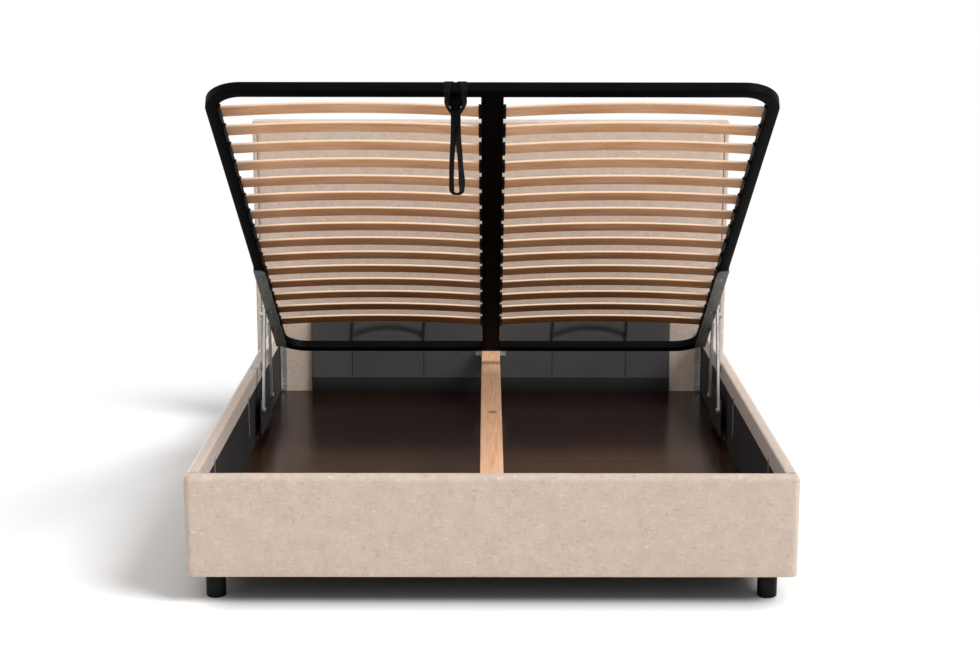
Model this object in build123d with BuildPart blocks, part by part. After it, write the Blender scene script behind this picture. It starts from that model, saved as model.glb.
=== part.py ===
from build123d import *
import math
import os

os.makedirs("parts", exist_ok=True)

# Lift-up storage bed, shown open: a slatted base raised over a padded box.
# Millimetres. X across the bed, Y from the foot to the headboard, Z up.
# The origin is on the ground, in the middle of the bed's width and length.

# Whole bed
bed_width = 1730
bed_length = 2130
leg_height = 83
rail_height = 300
floor_height = 132

# Headboard
headboard_overhang = 55
headboard_height = 1200
headboard_thickness = 70
headboard_border = 16
headboard_crown = 6
cushion_thickness = 38
back_cloth_thickness = 3
cushion_edge_radius = 14
border_edge_radius = 8
border_front_radius = 5

# Padded rails: foam outside, chipboard core, cloth inside
foam_thickness = 12
board_thickness = 20
lining_thickness = 3
top_foam = 8
bottom_wrap = 3
end_wrap = 3
flap_drop = 58
rail_crown = 2
rail_top_radius = 11
rail_inner_radius = 7
rail_bottom_radius = 4
corner_radius = 9

# Box floor and what carries it
floor_thickness = 6
floor_joint = 1
batten_height = 30
side_batten_width = 20
cross_batten_width = 40
middle_batten_width = 90
block_length = 90
head_lining_thickness = 12
head_lining_side_gap = 124
head_lining_height = 420

# Legs
leg_diameter = 57
leg_side_inset = 33.5
leg_end_inset = 48
leg_chamfer = 2
stud_diameter = 8
stud_length = 30
stud_clearance = 0.1
post_diameter = 38
post_hole_clearance = 3
post_flange_diameter = 64
post_flange_thickness = 3
post_foot_height = 10
post_foot_diameter = 50

# Middle beam and its hangers
beam_width = 70
beam_height = 40
beam_room = 148
beam_edge_radius = 3
hanger_thickness = 2
hanger_reach = 45
hanger_cheek_height = 30
hanger_ear = 22
hanger_hole_diameter = 4.5

# Lift frame, at its open place
side_gap = 35
end_gap = 17.5
tube_width = 35
tube_depth = 30
tube_wall = 1.5
tube_edge_radius = 3
frame_corner_radius = 110
spine_width = 62
drain_hole_diameter = 8
drain_hole_inset = 160
open_tilt = 33
open_shift = 330.5
open_lift = 47.7
beam_rest_gap = 0.3

# Slats and their holders
slat_rows = 15
slat_width = 53
slat_thickness = 8
slat_bow = 13
slat_foot_setback = 103
slat_head_setback = 260
slat_end_height = 4
cap_wall = 3
cap_side_margin = 4
cap_height = 15
outer_cap_length = 8
centre_cap_length = 8
cap_corner_radius = 2
slat_clearance = 0.3
slat_bow_room = 1.8

# Lift mechanism: where the pivots sit along the frame, and the bars
front_pivot_reach = 400
strut_pivot_reach = 325
rear_pivot_reach = 250
front_link_length = 363
rear_link_length = 275
strut_base_setback = 602
strut_base_height = 199
plate_thickness = 3
frame_plate_foot_reach = 765
frame_plate_head_reach = 55
frame_plate_round = 24
link_gap = 0.8
link_thickness = 8
link_width = 24
link_wall = 2.5
link_end_solid = 26
bracket_gap = 1.2
bracket_side_margin = 30
bracket_top_margin = 36
bracket_shelf_drop = 42
bracket_flange_height = 22
bracket_corner_radius = 20
pivot_diameter = 8
pivot_clearance = 0.05
pivot_head_diameter = 16
pivot_head_height = 2.6
pivot_end_gap = 0.5
spacer_diameter = 14
open_pivot_clearance = 1.6
strut_diameter = 18
strut_side_gap = 0.5
strut_body_length = 185
strut_wall = 1.5
strut_cap_length = 6
eye_diameter = 20
eye_width = 13
eye_neck_length = 20
rod_diameter = 8
rod_inside = 72
piston_diameter = 14.4
piston_length = 10
boss_diameter = 18
boss_height = 2.5

# Small steel fittings
strip_width = 14
strip_height = 150
strip_thickness = 2
strip_hole_diameter = 6
strip_hole_pitch = 20
strip_top_drop = 38
strip_foot_setback = 328
strip_middle_setback = 1100
angle_width = 25
angle_thickness = 2.5
angle_height = 230
angle_lift = 8
screw_head_diameter = 9
screw_head_height = 2.4
plate_rivet_reach = 697
plate_rivet_margin = 16

# Pull strap on the foot bar
strap_width = 30
strap_thickness = 2
strap_play = 0.8
strap_lobe_gap = 4
strap_offset = 96
strap_drop = 260
strap_foot_width = 45
strap_neck_width = 27
strap_strand = 13
strap_roll_diameter = 6
strap_hang_gap = 0.3

# Cuts run past the face by this much
overrun = 5

# Places that follow from the sizes above
half_width = bed_width / 2
headboard_width = bed_width + 2 * headboard_overhang
foot_face = -bed_length / 2
headboard_back = bed_length / 2
headboard_face = headboard_back - headboard_thickness
rail_top = leg_height + rail_height
rail_thickness = foam_thickness + board_thickness + lining_thickness
board_inside = foam_thickness + board_thickness
inner_half = half_width - rail_thickness
inner_foot = foot_face + rail_thickness
inner_middle = (inner_foot + headboard_face) / 2
flap_bottom = rail_top - flap_drop
floor_underside = floor_height - floor_thickness
head_lining_face = headboard_face - head_lining_thickness
head_lining_width = 2 * (inner_half - head_lining_side_gap)

frame_width = 2 * inner_half - 2 * side_gap
frame_length = headboard_face - inner_foot - 2 * end_gap
frame_half = frame_width / 2
tube_inside = frame_half - tube_width
closed_head = headboard_face - end_gap
beam_underside = floor_height + beam_room
beam_top = beam_underside + beam_height
closed_height = beam_top + beam_rest_gap

tilt_sine = math.sin(math.radians(open_tilt))
tilt_cosine = math.cos(math.radians(open_tilt))
open_head = closed_head - open_shift
open_height = closed_height + open_lift
open_foot = open_head - frame_length * tilt_cosine
open_foot_height = open_height + frame_length * tilt_sine

mirror_sides = (-1, 1)


def frame_point(x, along, depth):
    """A point of the raised frame: along runs from its foot end to its head end."""
    return (
        x,
        open_foot + along * tilt_cosine + depth * tilt_sine,
        open_foot_height - along * tilt_sine + depth * tilt_cosine,
    )


def frame_plane(depth):
    """A plane in the raised frame, depth above its underside."""
    return Plane(origin=frame_point(0, 0, depth), x_dir=(1, 0, 0), z_dir=(0, tilt_sine, tilt_cosine))


def frame_section(along):
    """A plane across the raised frame, whose normal points to the frame's foot end."""
    return Plane(origin=frame_point(0, along, 0), x_dir=(1, 0, 0), z_dir=(0, -tilt_cosine, tilt_sine))


def side_plane(x):
    """A plane seen from the side of the bed: its own axes are Y and Z."""
    return Plane(origin=(x, 0, 0), x_dir=(0, 1, 0), z_dir=(1, 0, 0))


def save(part, name):
    """Write one piece, under its own name."""
    part.label = name
    export_step(part, "parts/" + name + ".step")
    return part


# Rails: a board in a padded cover, with a cloth lining inside.
# The rail's section runs from its outer face inwards, and up from the ground.

with BuildSketch() as rail_shape:
    with BuildLine():
        ThreePointArc(
            (rail_crown, leg_height),
            (0, leg_height + rail_height / 2),
            (rail_crown, rail_top),
        )
        Polyline(
            (rail_crown, rail_top),
            (rail_thickness, rail_top),
            (rail_thickness, leg_height),
            (rail_crown, leg_height),
        )
    make_face()
    fillet(rail_shape.vertices().group_by(Axis.Y)[-1].sort_by(Axis.X)[0], radius=rail_top_radius)
    fillet(rail_shape.vertices().group_by(Axis.Y)[-1].sort_by(Axis.X)[-1], radius=rail_inner_radius)
    fillet(rail_shape.vertices().group_by(Axis.Y)[0].sort_by(Axis.X)[0], radius=rail_bottom_radius)

# The board's and the lining's places in that section
with BuildSketch() as board_space:
    with BuildLine():
        Polyline(
            (foam_thickness, leg_height + bottom_wrap),
            (foam_thickness, rail_top - top_foam),
            (board_inside, rail_top - top_foam),
            (board_inside, flap_bottom),
            (rail_thickness + overrun, flap_bottom),
            (rail_thickness + overrun, leg_height - overrun),
            (board_inside, leg_height - overrun),
            (board_inside, leg_height + bottom_wrap),
            close=True,
        )
    make_face()

foot_section = Plane(origin=(-half_width, foot_face, 0), x_dir=(0, 1, 0), z_dir=(1, 0, 0))
with BuildPart() as foot_cover:
    with BuildSketch(foot_section):
        add(rail_shape.sketch)
    extrude(amount=bed_width)
    with BuildSketch(Plane.XY.offset(leg_height - overrun)) as foot_plan:
        with Locations((0, foot_face + rail_thickness / 2)):
            Rectangle(bed_width, rail_thickness)
        fillet(foot_plan.vertices().group_by(Axis.Y)[0], radius=corner_radius)
    extrude(amount=rail_height + 2 * overrun, mode=Mode.INTERSECT)
    with BuildSketch(foot_section.offset(end_wrap)):
        add(board_space.sketch)
    extrude(amount=bed_width - 2 * end_wrap, mode=Mode.SUBTRACT)
save(foot_cover.part, "foot_cover")

with BuildPart() as foot_board:
    with BuildSketch(Plane.XY.offset(leg_height + bottom_wrap)):
        with Locations((0, foot_face + foam_thickness + board_thickness / 2)):
            Rectangle(bed_width - 2 * end_wrap, board_thickness)
    extrude(amount=rail_height - bottom_wrap - top_foam)
save(foot_board.part, "foot_board")

with BuildPart() as foot_lining:
    with BuildSketch(Plane.XY.offset(leg_height)):
        with Locations((0, inner_foot - lining_thickness / 2)):
            Rectangle(bed_width - 2 * end_wrap, lining_thickness)
    extrude(amount=flap_bottom - leg_height)
save(foot_lining.part, "foot_lining")

side_length = headboard_face - inner_foot


def rail_section(side):
    """A plane across a side rail, whose first axis runs inwards from the outer face."""
    return Plane(origin=(side * half_width, inner_foot, 0), x_dir=(-side, 0, 0), z_dir=(0, side, 0))


for side, name in ((-1, "left"), (1, "right")):
    with BuildPart() as side_cover:
        with BuildSketch(rail_section(side)):
            add(rail_shape.sketch)
        extrude(amount=side * side_length)
        with BuildSketch(rail_section(side)):
            add(board_space.sketch)
        extrude(amount=side * side_length, mode=Mode.SUBTRACT)
    save(side_cover.part, name + "_rail_cover")

    with BuildPart() as side_board:
        with BuildSketch(Plane.XY.offset(leg_height + bottom_wrap)):
            with Locations((side * (half_width - foam_thickness - board_thickness / 2),
                            inner_foot + side_length / 2)):
                Rectangle(board_thickness, side_length)
        extrude(amount=rail_height - bottom_wrap - top_foam)
    save(side_board.part, name + "_rail_board")

    with BuildPart() as side_lining:
        with BuildSketch(Plane.XY.offset(leg_height)):
            with Locations((side * (inner_half + lining_thickness / 2), inner_foot + side_length / 2)):
                Rectangle(lining_thickness, side_length)
        extrude(amount=flap_bottom - leg_height)
    save(side_lining.part, name + "_lining")

# Headboard: border strip round a crowned front cushion, panel and back cloth

panel_thickness = headboard_thickness - cushion_thickness - back_cloth_thickness
cushion_width = headboard_width - 2 * headboard_border
cushion_top = headboard_height - headboard_border
cushion_back = headboard_face + cushion_thickness

with BuildPart() as headboard_cushion:
    with BuildSketch(side_plane(-cushion_width / 2)):
        with BuildLine():
            Polyline(
                (headboard_face, head_lining_height),
                (headboard_face, leg_height),
                (cushion_back, leg_height),
                (cushion_back, cushion_top),
                (headboard_face + cushion_edge_radius, cushion_top),
            )
            ThreePointArc(
                (headboard_face + cushion_edge_radius, cushion_top),
                (headboard_face, cushion_top - cushion_edge_radius),
                (headboard_face - headboard_crown / 2, cushion_top - 2 * cushion_edge_radius),
            )
            ThreePointArc(
                (headboard_face - headboard_crown / 2, cushion_top - 2 * cushion_edge_radius),
                (headboard_face - headboard_crown, (cushion_top + head_lining_height) / 2),
                (headboard_face, head_lining_height),
            )
        make_face()
    extrude(amount=cushion_width)
    with BuildSketch(Plane.XY.offset(leg_height - overrun)) as cushion_plan:
        with Locations((0, cushion_back - (cushion_thickness + headboard_crown) / 2)):
            Rectangle(cushion_width, cushion_thickness + headboard_crown)
        fillet(cushion_plan.vertices().group_by(Axis.Y)[0], radius=cushion_edge_radius)
    extrude(amount=headboard_height, mode=Mode.INTERSECT)
save(headboard_cushion.part, "headboard_cushion")

with BuildPart() as border:
    with BuildSketch(Plane.XZ.offset(-headboard_back + back_cloth_thickness)) as border_shape:
        with Locations((0, (headboard_height + leg_height) / 2)):
            Rectangle(headboard_width, headboard_height - leg_height)
        fillet(border_shape.vertices().group_by(Axis.Y)[-1], radius=border_edge_radius)
        with Locations((0, (cushion_top + leg_height - overrun) / 2)):
            Rectangle(cushion_width, cushion_top - leg_height + overrun, mode=Mode.SUBTRACT)
    extrude(amount=headboard_thickness - back_cloth_thickness)
    front_edges = border.faces().sort_by(Axis.Y)[0].edges()
    front_uprights = front_edges.filter_by(Axis.Z).sort_by(Axis.X)
    front_top_edge = front_edges.filter_by(Axis.X).sort_by(Axis.Z)[-1]
    front_corners = front_edges.filter_by(GeomType.CIRCLE)
    fillet([front_uprights[0], front_uprights[-1], front_top_edge] + front_corners, radius=border_front_radius)
save(border.part, "headboard_border")

with BuildPart() as headboard_panel:
    with BuildSketch(Plane.XY.offset(leg_height)):
        with Locations((0, cushion_back + panel_thickness / 2)):
            Rectangle(cushion_width, panel_thickness)
    extrude(amount=cushion_top - leg_height)
save(headboard_panel.part, "headboard_panel")

with BuildPart() as headboard_back_cloth:
    with BuildSketch(Plane.XZ.offset(-headboard_back)) as back_shape:
        with Locations((0, (headboard_height + leg_height) / 2)):
            Rectangle(headboard_width, headboard_height - leg_height)
        fillet(back_shape.vertices().group_by(Axis.Y)[-1], radius=border_edge_radius)
    extrude(amount=back_cloth_thickness)
save(headboard_back_cloth.part, "headboard_back_cloth")

with BuildPart() as head_lining:
    with BuildSketch(Plane.XY.offset(floor_height)):
        with Locations((0, headboard_face - head_lining_thickness / 2)):
            Rectangle(head_lining_width, head_lining_thickness)
    extrude(amount=head_lining_height - floor_height)
save(head_lining.part, "head_lining")

# Floor of the box: four loose panels on battens

floor_panel_width = inner_half - floor_joint / 2
floor_panel_length = (headboard_face - inner_foot - floor_joint) / 2
post_hole_diameter = post_diameter + 2 * post_hole_clearance

for x_side, side_name in ((-1, "left"), (1, "right")):
    for y_side, end_name in ((-1, "foot"), (1, "head")):
        with BuildPart() as floor_panel:
            with BuildSketch(Plane.XY.offset(floor_underside)):
                with Locations((x_side * (inner_half - floor_panel_width / 2),
                                inner_middle + y_side * (floor_joint + floor_panel_length) / 2)):
                    Rectangle(floor_panel_width, floor_panel_length)
                with Locations((0, inner_middle)):
                    Circle(post_hole_diameter / 2, mode=Mode.SUBTRACT)
            extrude(amount=floor_thickness)
        save(floor_panel.part, "floor_panel_" + side_name + "_" + end_name)

batten_base = floor_underside - batten_height
side_batten_length = side_length - 2 * block_length

with BuildPart() as side_battens:
    with BuildSketch(Plane.XY.offset(batten_base)):
        for side in mirror_sides:
            with Locations((side * (inner_half - side_batten_width / 2), inner_middle)):
                Rectangle(side_batten_width, side_batten_length)
    extrude(amount=batten_height)
save(side_battens.part, "side_battens")

end_batten_length = 2 * (inner_half - block_length)
cross_batten_length = 2 * (inner_half - side_batten_width)
end_batten_place = side_length / 2 - cross_batten_width / 2

with BuildPart() as cross_battens:
    with BuildSketch(Plane.XY.offset(batten_base)):
        for end in mirror_sides:
            with Locations((0, inner_middle + end * end_batten_place)):
                Rectangle(end_batten_length, cross_batten_width)
            with Locations((0, inner_middle + end * side_length / 4)):
                Rectangle(cross_batten_length, cross_batten_width)
        with Locations((0, inner_middle)):
            Rectangle(cross_batten_length, middle_batten_width)
            Circle(post_hole_diameter / 2, mode=Mode.SUBTRACT)
    extrude(amount=batten_height)
save(cross_battens.part, "cross_battens")

# Legs, with a stud up into a block in each corner

leg_x = inner_half - leg_side_inset
front_leg_y = inner_foot + leg_end_inset
rear_leg_y = headboard_face - leg_end_inset

with BuildPart() as corner_blocks:
    with BuildSketch(Plane.XY.offset(leg_height)):
        for side in mirror_sides:
            for end in mirror_sides:
                with Locations((side * (inner_half - block_length / 2),
                                inner_middle + end * (side_length - block_length) / 2)):
                    Rectangle(block_length, block_length)
    extrude(amount=floor_underside - leg_height)
    with BuildSketch(Plane.XY.offset(leg_height)):
        for side in mirror_sides:
            with Locations((side * leg_x, front_leg_y), (side * leg_x, rear_leg_y)):
                Circle(stud_diameter / 2 + stud_clearance)
    extrude(amount=stud_length + stud_clearance, mode=Mode.SUBTRACT)
save(corner_blocks.part, "corner_blocks")

for name, place in (("front_legs", front_leg_y), ("rear_legs", rear_leg_y)):
    with BuildPart() as legs:
        with BuildSketch():
            with Locations((-leg_x, place), (leg_x, place)):
                Circle(leg_diameter / 2)
        extrude(amount=leg_height)
        chamfer(legs.edges().group_by(Axis.Z)[0], length=leg_chamfer)
        with BuildSketch(Plane.XY.offset(leg_height)):
            with Locations((-leg_x, place), (leg_x, place)):
                Circle(stud_diameter / 2)
        extrude(amount=stud_length)
    save(legs.part, name)

# Pine beam down the middle, its steel hangers and the post under it

beam_foot = inner_foot + hanger_thickness
beam_head = head_lining_face - hanger_thickness

with BuildPart() as centre_beam:
    with BuildSketch(Plane.XZ.offset(-beam_foot)):
        with Locations((0, beam_underside + beam_height / 2)):
            RectangleRounded(beam_width, beam_height, beam_edge_radius)
    extrude(amount=-(beam_head - beam_foot))
save(centre_beam.part, "centre_beam")

hanger_width = beam_width + 2 * hanger_thickness
hanger_height = hanger_cheek_height + hanger_thickness

with BuildPart() as beam_hangers:
    for wall, inward in ((inner_foot, 1), (head_lining_face, -1)):
        with BuildSketch(Plane.XZ.offset(-wall)):
            with Locations((0, beam_underside - hanger_thickness + hanger_height / 2)):
                Rectangle(hanger_width + 2 * hanger_ear, hanger_height)
                for side in mirror_sides:
                    with Locations((side * (hanger_width + hanger_ear) / 2, 0)):
                        Circle(hanger_hole_diameter / 2, mode=Mode.SUBTRACT)
        extrude(amount=-inward * hanger_thickness)
        with BuildSketch(Plane.XZ.offset(-wall)):
            with Locations((0, beam_underside - hanger_thickness + hanger_height / 2)):
                Rectangle(hanger_width, hanger_height)
            with Locations((0, beam_underside + hanger_height / 2)):
                Rectangle(beam_width, hanger_height, mode=Mode.SUBTRACT)
        extrude(amount=-inward * hanger_reach)
save(beam_hangers.part, "beam_hangers")

with BuildPart() as beam_post:
    with BuildSketch():
        with Locations((0, inner_middle)):
            Circle(post_foot_diameter / 2)
    extrude(amount=post_foot_height)
    chamfer(beam_post.edges().group_by(Axis.Z)[0], length=leg_chamfer)
    with BuildSketch(Plane.XY.offset(post_foot_height)):
        with Locations((0, inner_middle)):
            Circle(post_diameter / 2)
    extrude(amount=beam_underside - post_foot_height)
    with BuildSketch(Plane.XY.offset(beam_underside - post_flange_thickness)):
        with Locations((0, inner_middle)):
            Circle(post_flange_diameter / 2)
    extrude(amount=post_flange_thickness)
save(beam_post.part, "beam_post")

# Lift frame: a bent steel tube all round, and a flat tube down its middle

frame_normal = Axis(frame_plane(0).origin, frame_plane(0).z_dir)

with BuildPart() as lift_frame:
    with BuildSketch(frame_plane(0)):
        with Locations((0, frame_length / 2)):
            RectangleRounded(frame_width, frame_length, frame_corner_radius)
            RectangleRounded(frame_width - 2 * tube_width, frame_length - 2 * tube_width,
                             frame_corner_radius - tube_width, mode=Mode.SUBTRACT)
    extrude(amount=tube_depth)
    tube_faces = lift_frame.edges().group_by(frame_normal)
    fillet(tube_faces[0] + tube_faces[-1], radius=tube_edge_radius)
    with BuildSketch(frame_plane(tube_wall)):
        with Locations((0, frame_length / 2)):
            RectangleRounded(frame_width - 2 * tube_wall, frame_length - 2 * tube_wall,
                             frame_corner_radius - tube_wall)
            RectangleRounded(frame_width - 2 * tube_width + 2 * tube_wall,
                             frame_length - 2 * tube_width + 2 * tube_wall,
                             frame_corner_radius - tube_width + tube_wall, mode=Mode.SUBTRACT)
    extrude(amount=tube_depth - 2 * tube_wall, mode=Mode.SUBTRACT)
    with BuildSketch(frame_plane(-overrun)):
        for side in mirror_sides:
            for end in (drain_hole_inset, frame_length - drain_hole_inset):
                with Locations((side * (frame_half - tube_width / 2), end)):
                    Circle(drain_hole_diameter / 2)
    extrude(amount=overrun + tube_depth / 2, mode=Mode.SUBTRACT)
save(lift_frame.part, "lift_frame")

with BuildPart() as frame_spine:
    with BuildSketch(frame_section(frame_length - tube_width)):
        with Locations((0, tube_depth / 2)):
            RectangleRounded(spine_width, tube_depth, tube_edge_radius)
            RectangleRounded(spine_width - 2 * tube_wall, tube_depth - 2 * tube_wall,
                             tube_edge_radius - tube_wall, mode=Mode.SUBTRACT)
    extrude(amount=frame_length - 2 * tube_width)
save(frame_spine.part, "frame_spine")

# Bowed slats, two in each row, held in small caps

slat_pitch = (frame_length - slat_foot_setback - slat_head_setback - slat_width) / (slat_rows - 1)
slat_places = [slat_foot_setback + slat_width / 2 + slat_pitch * row for row in range(slat_rows)]
slat_start = spine_width / 2 + cap_wall + slat_clearance
slat_end = tube_inside - cap_wall - slat_clearance
slat_middle = (slat_start + slat_end) / 2

for row, place in enumerate(slat_places, start=1):
    with BuildPart() as slats:
        with BuildSketch(frame_section(place + slat_width / 2)):
            with BuildLine():
                low = ThreePointArc(
                    (slat_start, slat_end_height),
                    (slat_middle, slat_end_height + slat_bow),
                    (slat_end, slat_end_height),
                )
                high = ThreePointArc(
                    (slat_start, slat_end_height + slat_thickness),
                    (slat_middle, slat_end_height + slat_bow + slat_thickness),
                    (slat_end, slat_end_height + slat_thickness),
                )
                Line(low @ 0, high @ 0)
                Line(low @ 1, high @ 1)
            make_face()
        extrude(amount=slat_width)
        mirror(about=Plane.YZ)
    save(slats.part, "slat_row_%02d" % row)

cap_base = slat_end_height - slat_clearance - cap_wall
cap_width = slat_width + 2 * cap_side_margin
pocket_width = slat_width + 2 * slat_clearance
pocket_height = slat_thickness + slat_clearance + slat_bow_room

with BuildPart() as outer_caps:
    with BuildSketch(frame_plane(cap_base)):
        for side in mirror_sides:
            for place in slat_places:
                with Locations((side * (tube_inside - outer_cap_length / 2), place)):
                    RectangleRounded(outer_cap_length, cap_width, cap_corner_radius)
    extrude(amount=cap_height)
    with BuildSketch(frame_plane(0)):
        with Locations((0, frame_length / 2)):
            RectangleRounded(frame_width - 2 * tube_width, frame_length - 2 * tube_width,
                             frame_corner_radius - tube_width)
    extrude(amount=tube_depth, mode=Mode.INTERSECT)
    with BuildSketch(frame_plane(cap_base + cap_wall)):
        for side in mirror_sides:
            for place in slat_places:
                with Locations((side * (tube_inside - cap_wall - outer_cap_length / 2), place)):
                    Rectangle(outer_cap_length, pocket_width)
    extrude(amount=pocket_height, mode=Mode.SUBTRACT)
save(outer_caps.part, "outer_slat_caps")

with BuildPart() as centre_caps:
    with BuildSketch(frame_plane(cap_base)):
        for side in mirror_sides:
            for place in slat_places:
                with Locations((side * (spine_width + centre_cap_length) / 2, place)):
                    RectangleRounded(centre_cap_length, cap_width, cap_corner_radius)
    extrude(amount=cap_height)
    with BuildSketch(frame_plane(cap_base + cap_wall)):
        for side in mirror_sides:
            for place in slat_places:
                with Locations((side * (spine_width / 2 + cap_wall + centre_cap_length / 2), place)):
                    Rectangle(centre_cap_length, pocket_width)
    extrude(amount=pocket_height, mode=Mode.SUBTRACT)
save(centre_caps.part, "centre_slat_caps")

# Lift mechanism. Pivots are side-view points (y, z), at the middle of the tube's depth.

pivot_depth = tube_depth / 2


def open_pivot(reach):
    """Where a frame pivot is with the base raised; reach is from the frame's head end."""
    x, y, z = frame_point(0, frame_length - reach, pivot_depth)
    return Vector(y, z)


def closed_pivot(reach):
    """Where the same pivot is with the base down."""
    return Vector(closed_head - reach, closed_height + pivot_depth)


def base_pivot(reach, link_length):
    """The fixed pivot that is one link away from the frame pivot, open and closed."""
    start = open_pivot(reach)
    end = closed_pivot(reach)
    chord = end - start
    height = math.sqrt(link_length ** 2 - (chord.length / 2) ** 2)
    across = Vector(chord.Y, -chord.X).normalized()
    return (start + end) * (1 / 2) + across * height


front_top = open_pivot(front_pivot_reach)
front_base = base_pivot(front_pivot_reach, front_link_length)
rear_top = open_pivot(rear_pivot_reach)
rear_base = base_pivot(rear_pivot_reach, rear_link_length)
strut_top = open_pivot(strut_pivot_reach)
strut_base = Vector(headboard_face - strut_base_setback, strut_base_height)

# Layers across the gap between the frame and the side lining
plate_out = frame_half + plate_thickness
link_in = plate_out + link_gap
link_out = link_in + link_thickness
web_in = link_out + bracket_gap
web_out = web_in + plate_thickness
strut_middle = web_out + strut_side_gap + strut_diameter / 2
eye_in = strut_middle - eye_width / 2
eye_out = strut_middle + eye_width / 2

with BuildPart() as frame_plates:
    with BuildSketch(frame_section(frame_length - frame_plate_head_reach)):
        with BuildLine():
            Polyline(
                (tube_inside, -plate_thickness),
                (plate_out, -plate_thickness),
                (plate_out, tube_depth),
                (frame_half, tube_depth),
                (frame_half, 0),
                (tube_inside, 0),
                close=True,
            )
        make_face()
    extrude(amount=frame_plate_foot_reach - frame_plate_head_reach)
    foot_end = frame_plates.edges().filter_by(Axis((0, 0, 0), frame_plane(0).z_dir))
    fillet(foot_end.sort_by(Axis.X)[:2].sort_by(Axis.Z)[-1], radius=frame_plate_round)
    mirror(about=Plane.YZ)
save(frame_plates.part, "frame_plates")

bracket_foot = front_base.X - bracket_side_margin
bracket_head = rear_base.X + bracket_side_margin
bracket_top = max(front_base.Y, rear_base.Y) + bracket_top_margin
bracket_shelf = strut_base.Y - bracket_shelf_drop

with BuildPart() as base_brackets:
    with BuildSketch(Plane.XZ.offset(-bracket_foot)):
        with BuildLine():
            Polyline(
                (web_in, bracket_shelf),
                (web_in, bracket_top),
                (web_out, bracket_top),
                (web_out, bracket_shelf + plate_thickness),
                (inner_half, bracket_shelf + plate_thickness),
                (inner_half, bracket_shelf - bracket_flange_height),
                (inner_half - plate_thickness, bracket_shelf - bracket_flange_height),
                (inner_half - plate_thickness, bracket_shelf),
                close=True,
            )
        make_face()
    extrude(amount=-(bracket_head - bracket_foot))
    web_corners = base_brackets.edges().filter_by(Axis.X).group_by(Axis.Z)[-1]
    fillet(web_corners, radius=bracket_corner_radius)
    mirror(about=Plane.YZ)
save(base_brackets.part, "base_brackets")


def link_bars(base, top, name, top_hole):
    """A pressed channel bar between two pivots, on both sides of the bed."""
    middle = (base + top) * (1 / 2)
    span = (top - base).length
    lean = math.degrees(math.atan2(top.Y - base.Y, top.X - base.X))
    with BuildPart() as bars:
        with BuildSketch(side_plane(link_in)):
            with Locations(Location((middle.X, middle.Y, 0), (0, 0, lean))):
                SlotCenterToCenter(span, link_width)
        extrude(amount=link_thickness)
        with BuildSketch(side_plane(link_in + link_wall)):
            with Locations(Location((middle.X, middle.Y, 0), (0, 0, lean))):
                Rectangle(span - 2 * link_end_solid, link_width - 2 * link_wall)
        extrude(amount=link_thickness, mode=Mode.SUBTRACT)
        with BuildSketch(side_plane(link_in - overrun)):
            with Locations((base.X, base.Y)):
                Circle(pivot_diameter / 2 + pivot_clearance)
            if top_hole:
                with Locations((top.X, top.Y)):
                    Circle(pivot_diameter / 2 + pivot_clearance)
        extrude(amount=link_thickness + 2 * overrun, mode=Mode.SUBTRACT)
        if not top_hole:
            with BuildSketch(side_plane(link_out)):
                with Locations((top.X, top.Y)):
                    Circle(boss_diameter / 2)
            extrude(amount=boss_height)
        mirror(about=Plane.YZ)
    save(bars.part, name)


link_bars(front_base, front_top, "front_links", top_hole=True)
link_bars(rear_base, rear_top, "rear_links", top_hole=False)

strut_way = (strut_top - strut_base).normalized()
strut_span = (strut_top - strut_base).length
cylinder_low = strut_span - eye_neck_length - strut_body_length


def strut_plane(distance):
    """A plane across the gas strut, at a distance up from its base pivot."""
    point = strut_base + strut_way * distance
    return Plane(origin=(strut_middle, point.X, point.Y), x_dir=(1, 0, 0), z_dir=(0, strut_way.X, strut_way.Y))


with BuildPart() as strut_rods:
    with BuildSketch(strut_plane(0)):
        Circle(rod_diameter / 2)
    extrude(amount=cylinder_low + rod_inside)
    with BuildSketch(strut_plane(cylinder_low + rod_inside - piston_length)):
        Circle(piston_diameter / 2)
    extrude(amount=piston_length)
    with BuildSketch(side_plane(eye_in)):
        with Locations((strut_base.X, strut_base.Y)):
            Circle(eye_diameter / 2)
    extrude(amount=eye_width)
    with BuildSketch(side_plane(eye_in - overrun)):
        with Locations((strut_base.X, strut_base.Y)):
            Circle(pivot_diameter / 2 + pivot_clearance)
    extrude(amount=eye_width + 2 * overrun, mode=Mode.SUBTRACT)
    mirror(about=Plane.YZ)
save(strut_rods.part, "strut_rods")

with BuildPart() as strut_cylinders:
    with BuildSketch(strut_plane(cylinder_low)):
        Circle(strut_diameter / 2)
    extrude(amount=strut_body_length)
    with BuildSketch(strut_plane(cylinder_low + strut_cap_length)):
        Circle(strut_diameter / 2 - strut_wall)
    extrude(amount=strut_body_length - 2 * strut_cap_length, mode=Mode.SUBTRACT)
    with BuildSketch(strut_plane(cylinder_low - overrun)):
        Circle(rod_diameter / 2 + pivot_clearance)
    extrude(amount=overrun + 2 * strut_cap_length, mode=Mode.SUBTRACT)
    with BuildSketch(strut_plane(cylinder_low + strut_body_length)):
        Circle(rod_diameter / 2)
    extrude(amount=eye_neck_length)
    with BuildSketch(side_plane(eye_in)):
        with Locations((strut_top.X, strut_top.Y)):
            Circle(eye_diameter / 2)
    extrude(amount=eye_width)
    with BuildSketch(side_plane(eye_in - overrun)):
        with Locations((strut_top.X, strut_top.Y)):
            Circle(pivot_diameter / 2 + open_pivot_clearance)
    extrude(amount=eye_width + 2 * overrun, mode=Mode.SUBTRACT)
    mirror(about=Plane.YZ)
save(strut_cylinders.part, "strut_cylinders")


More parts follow.
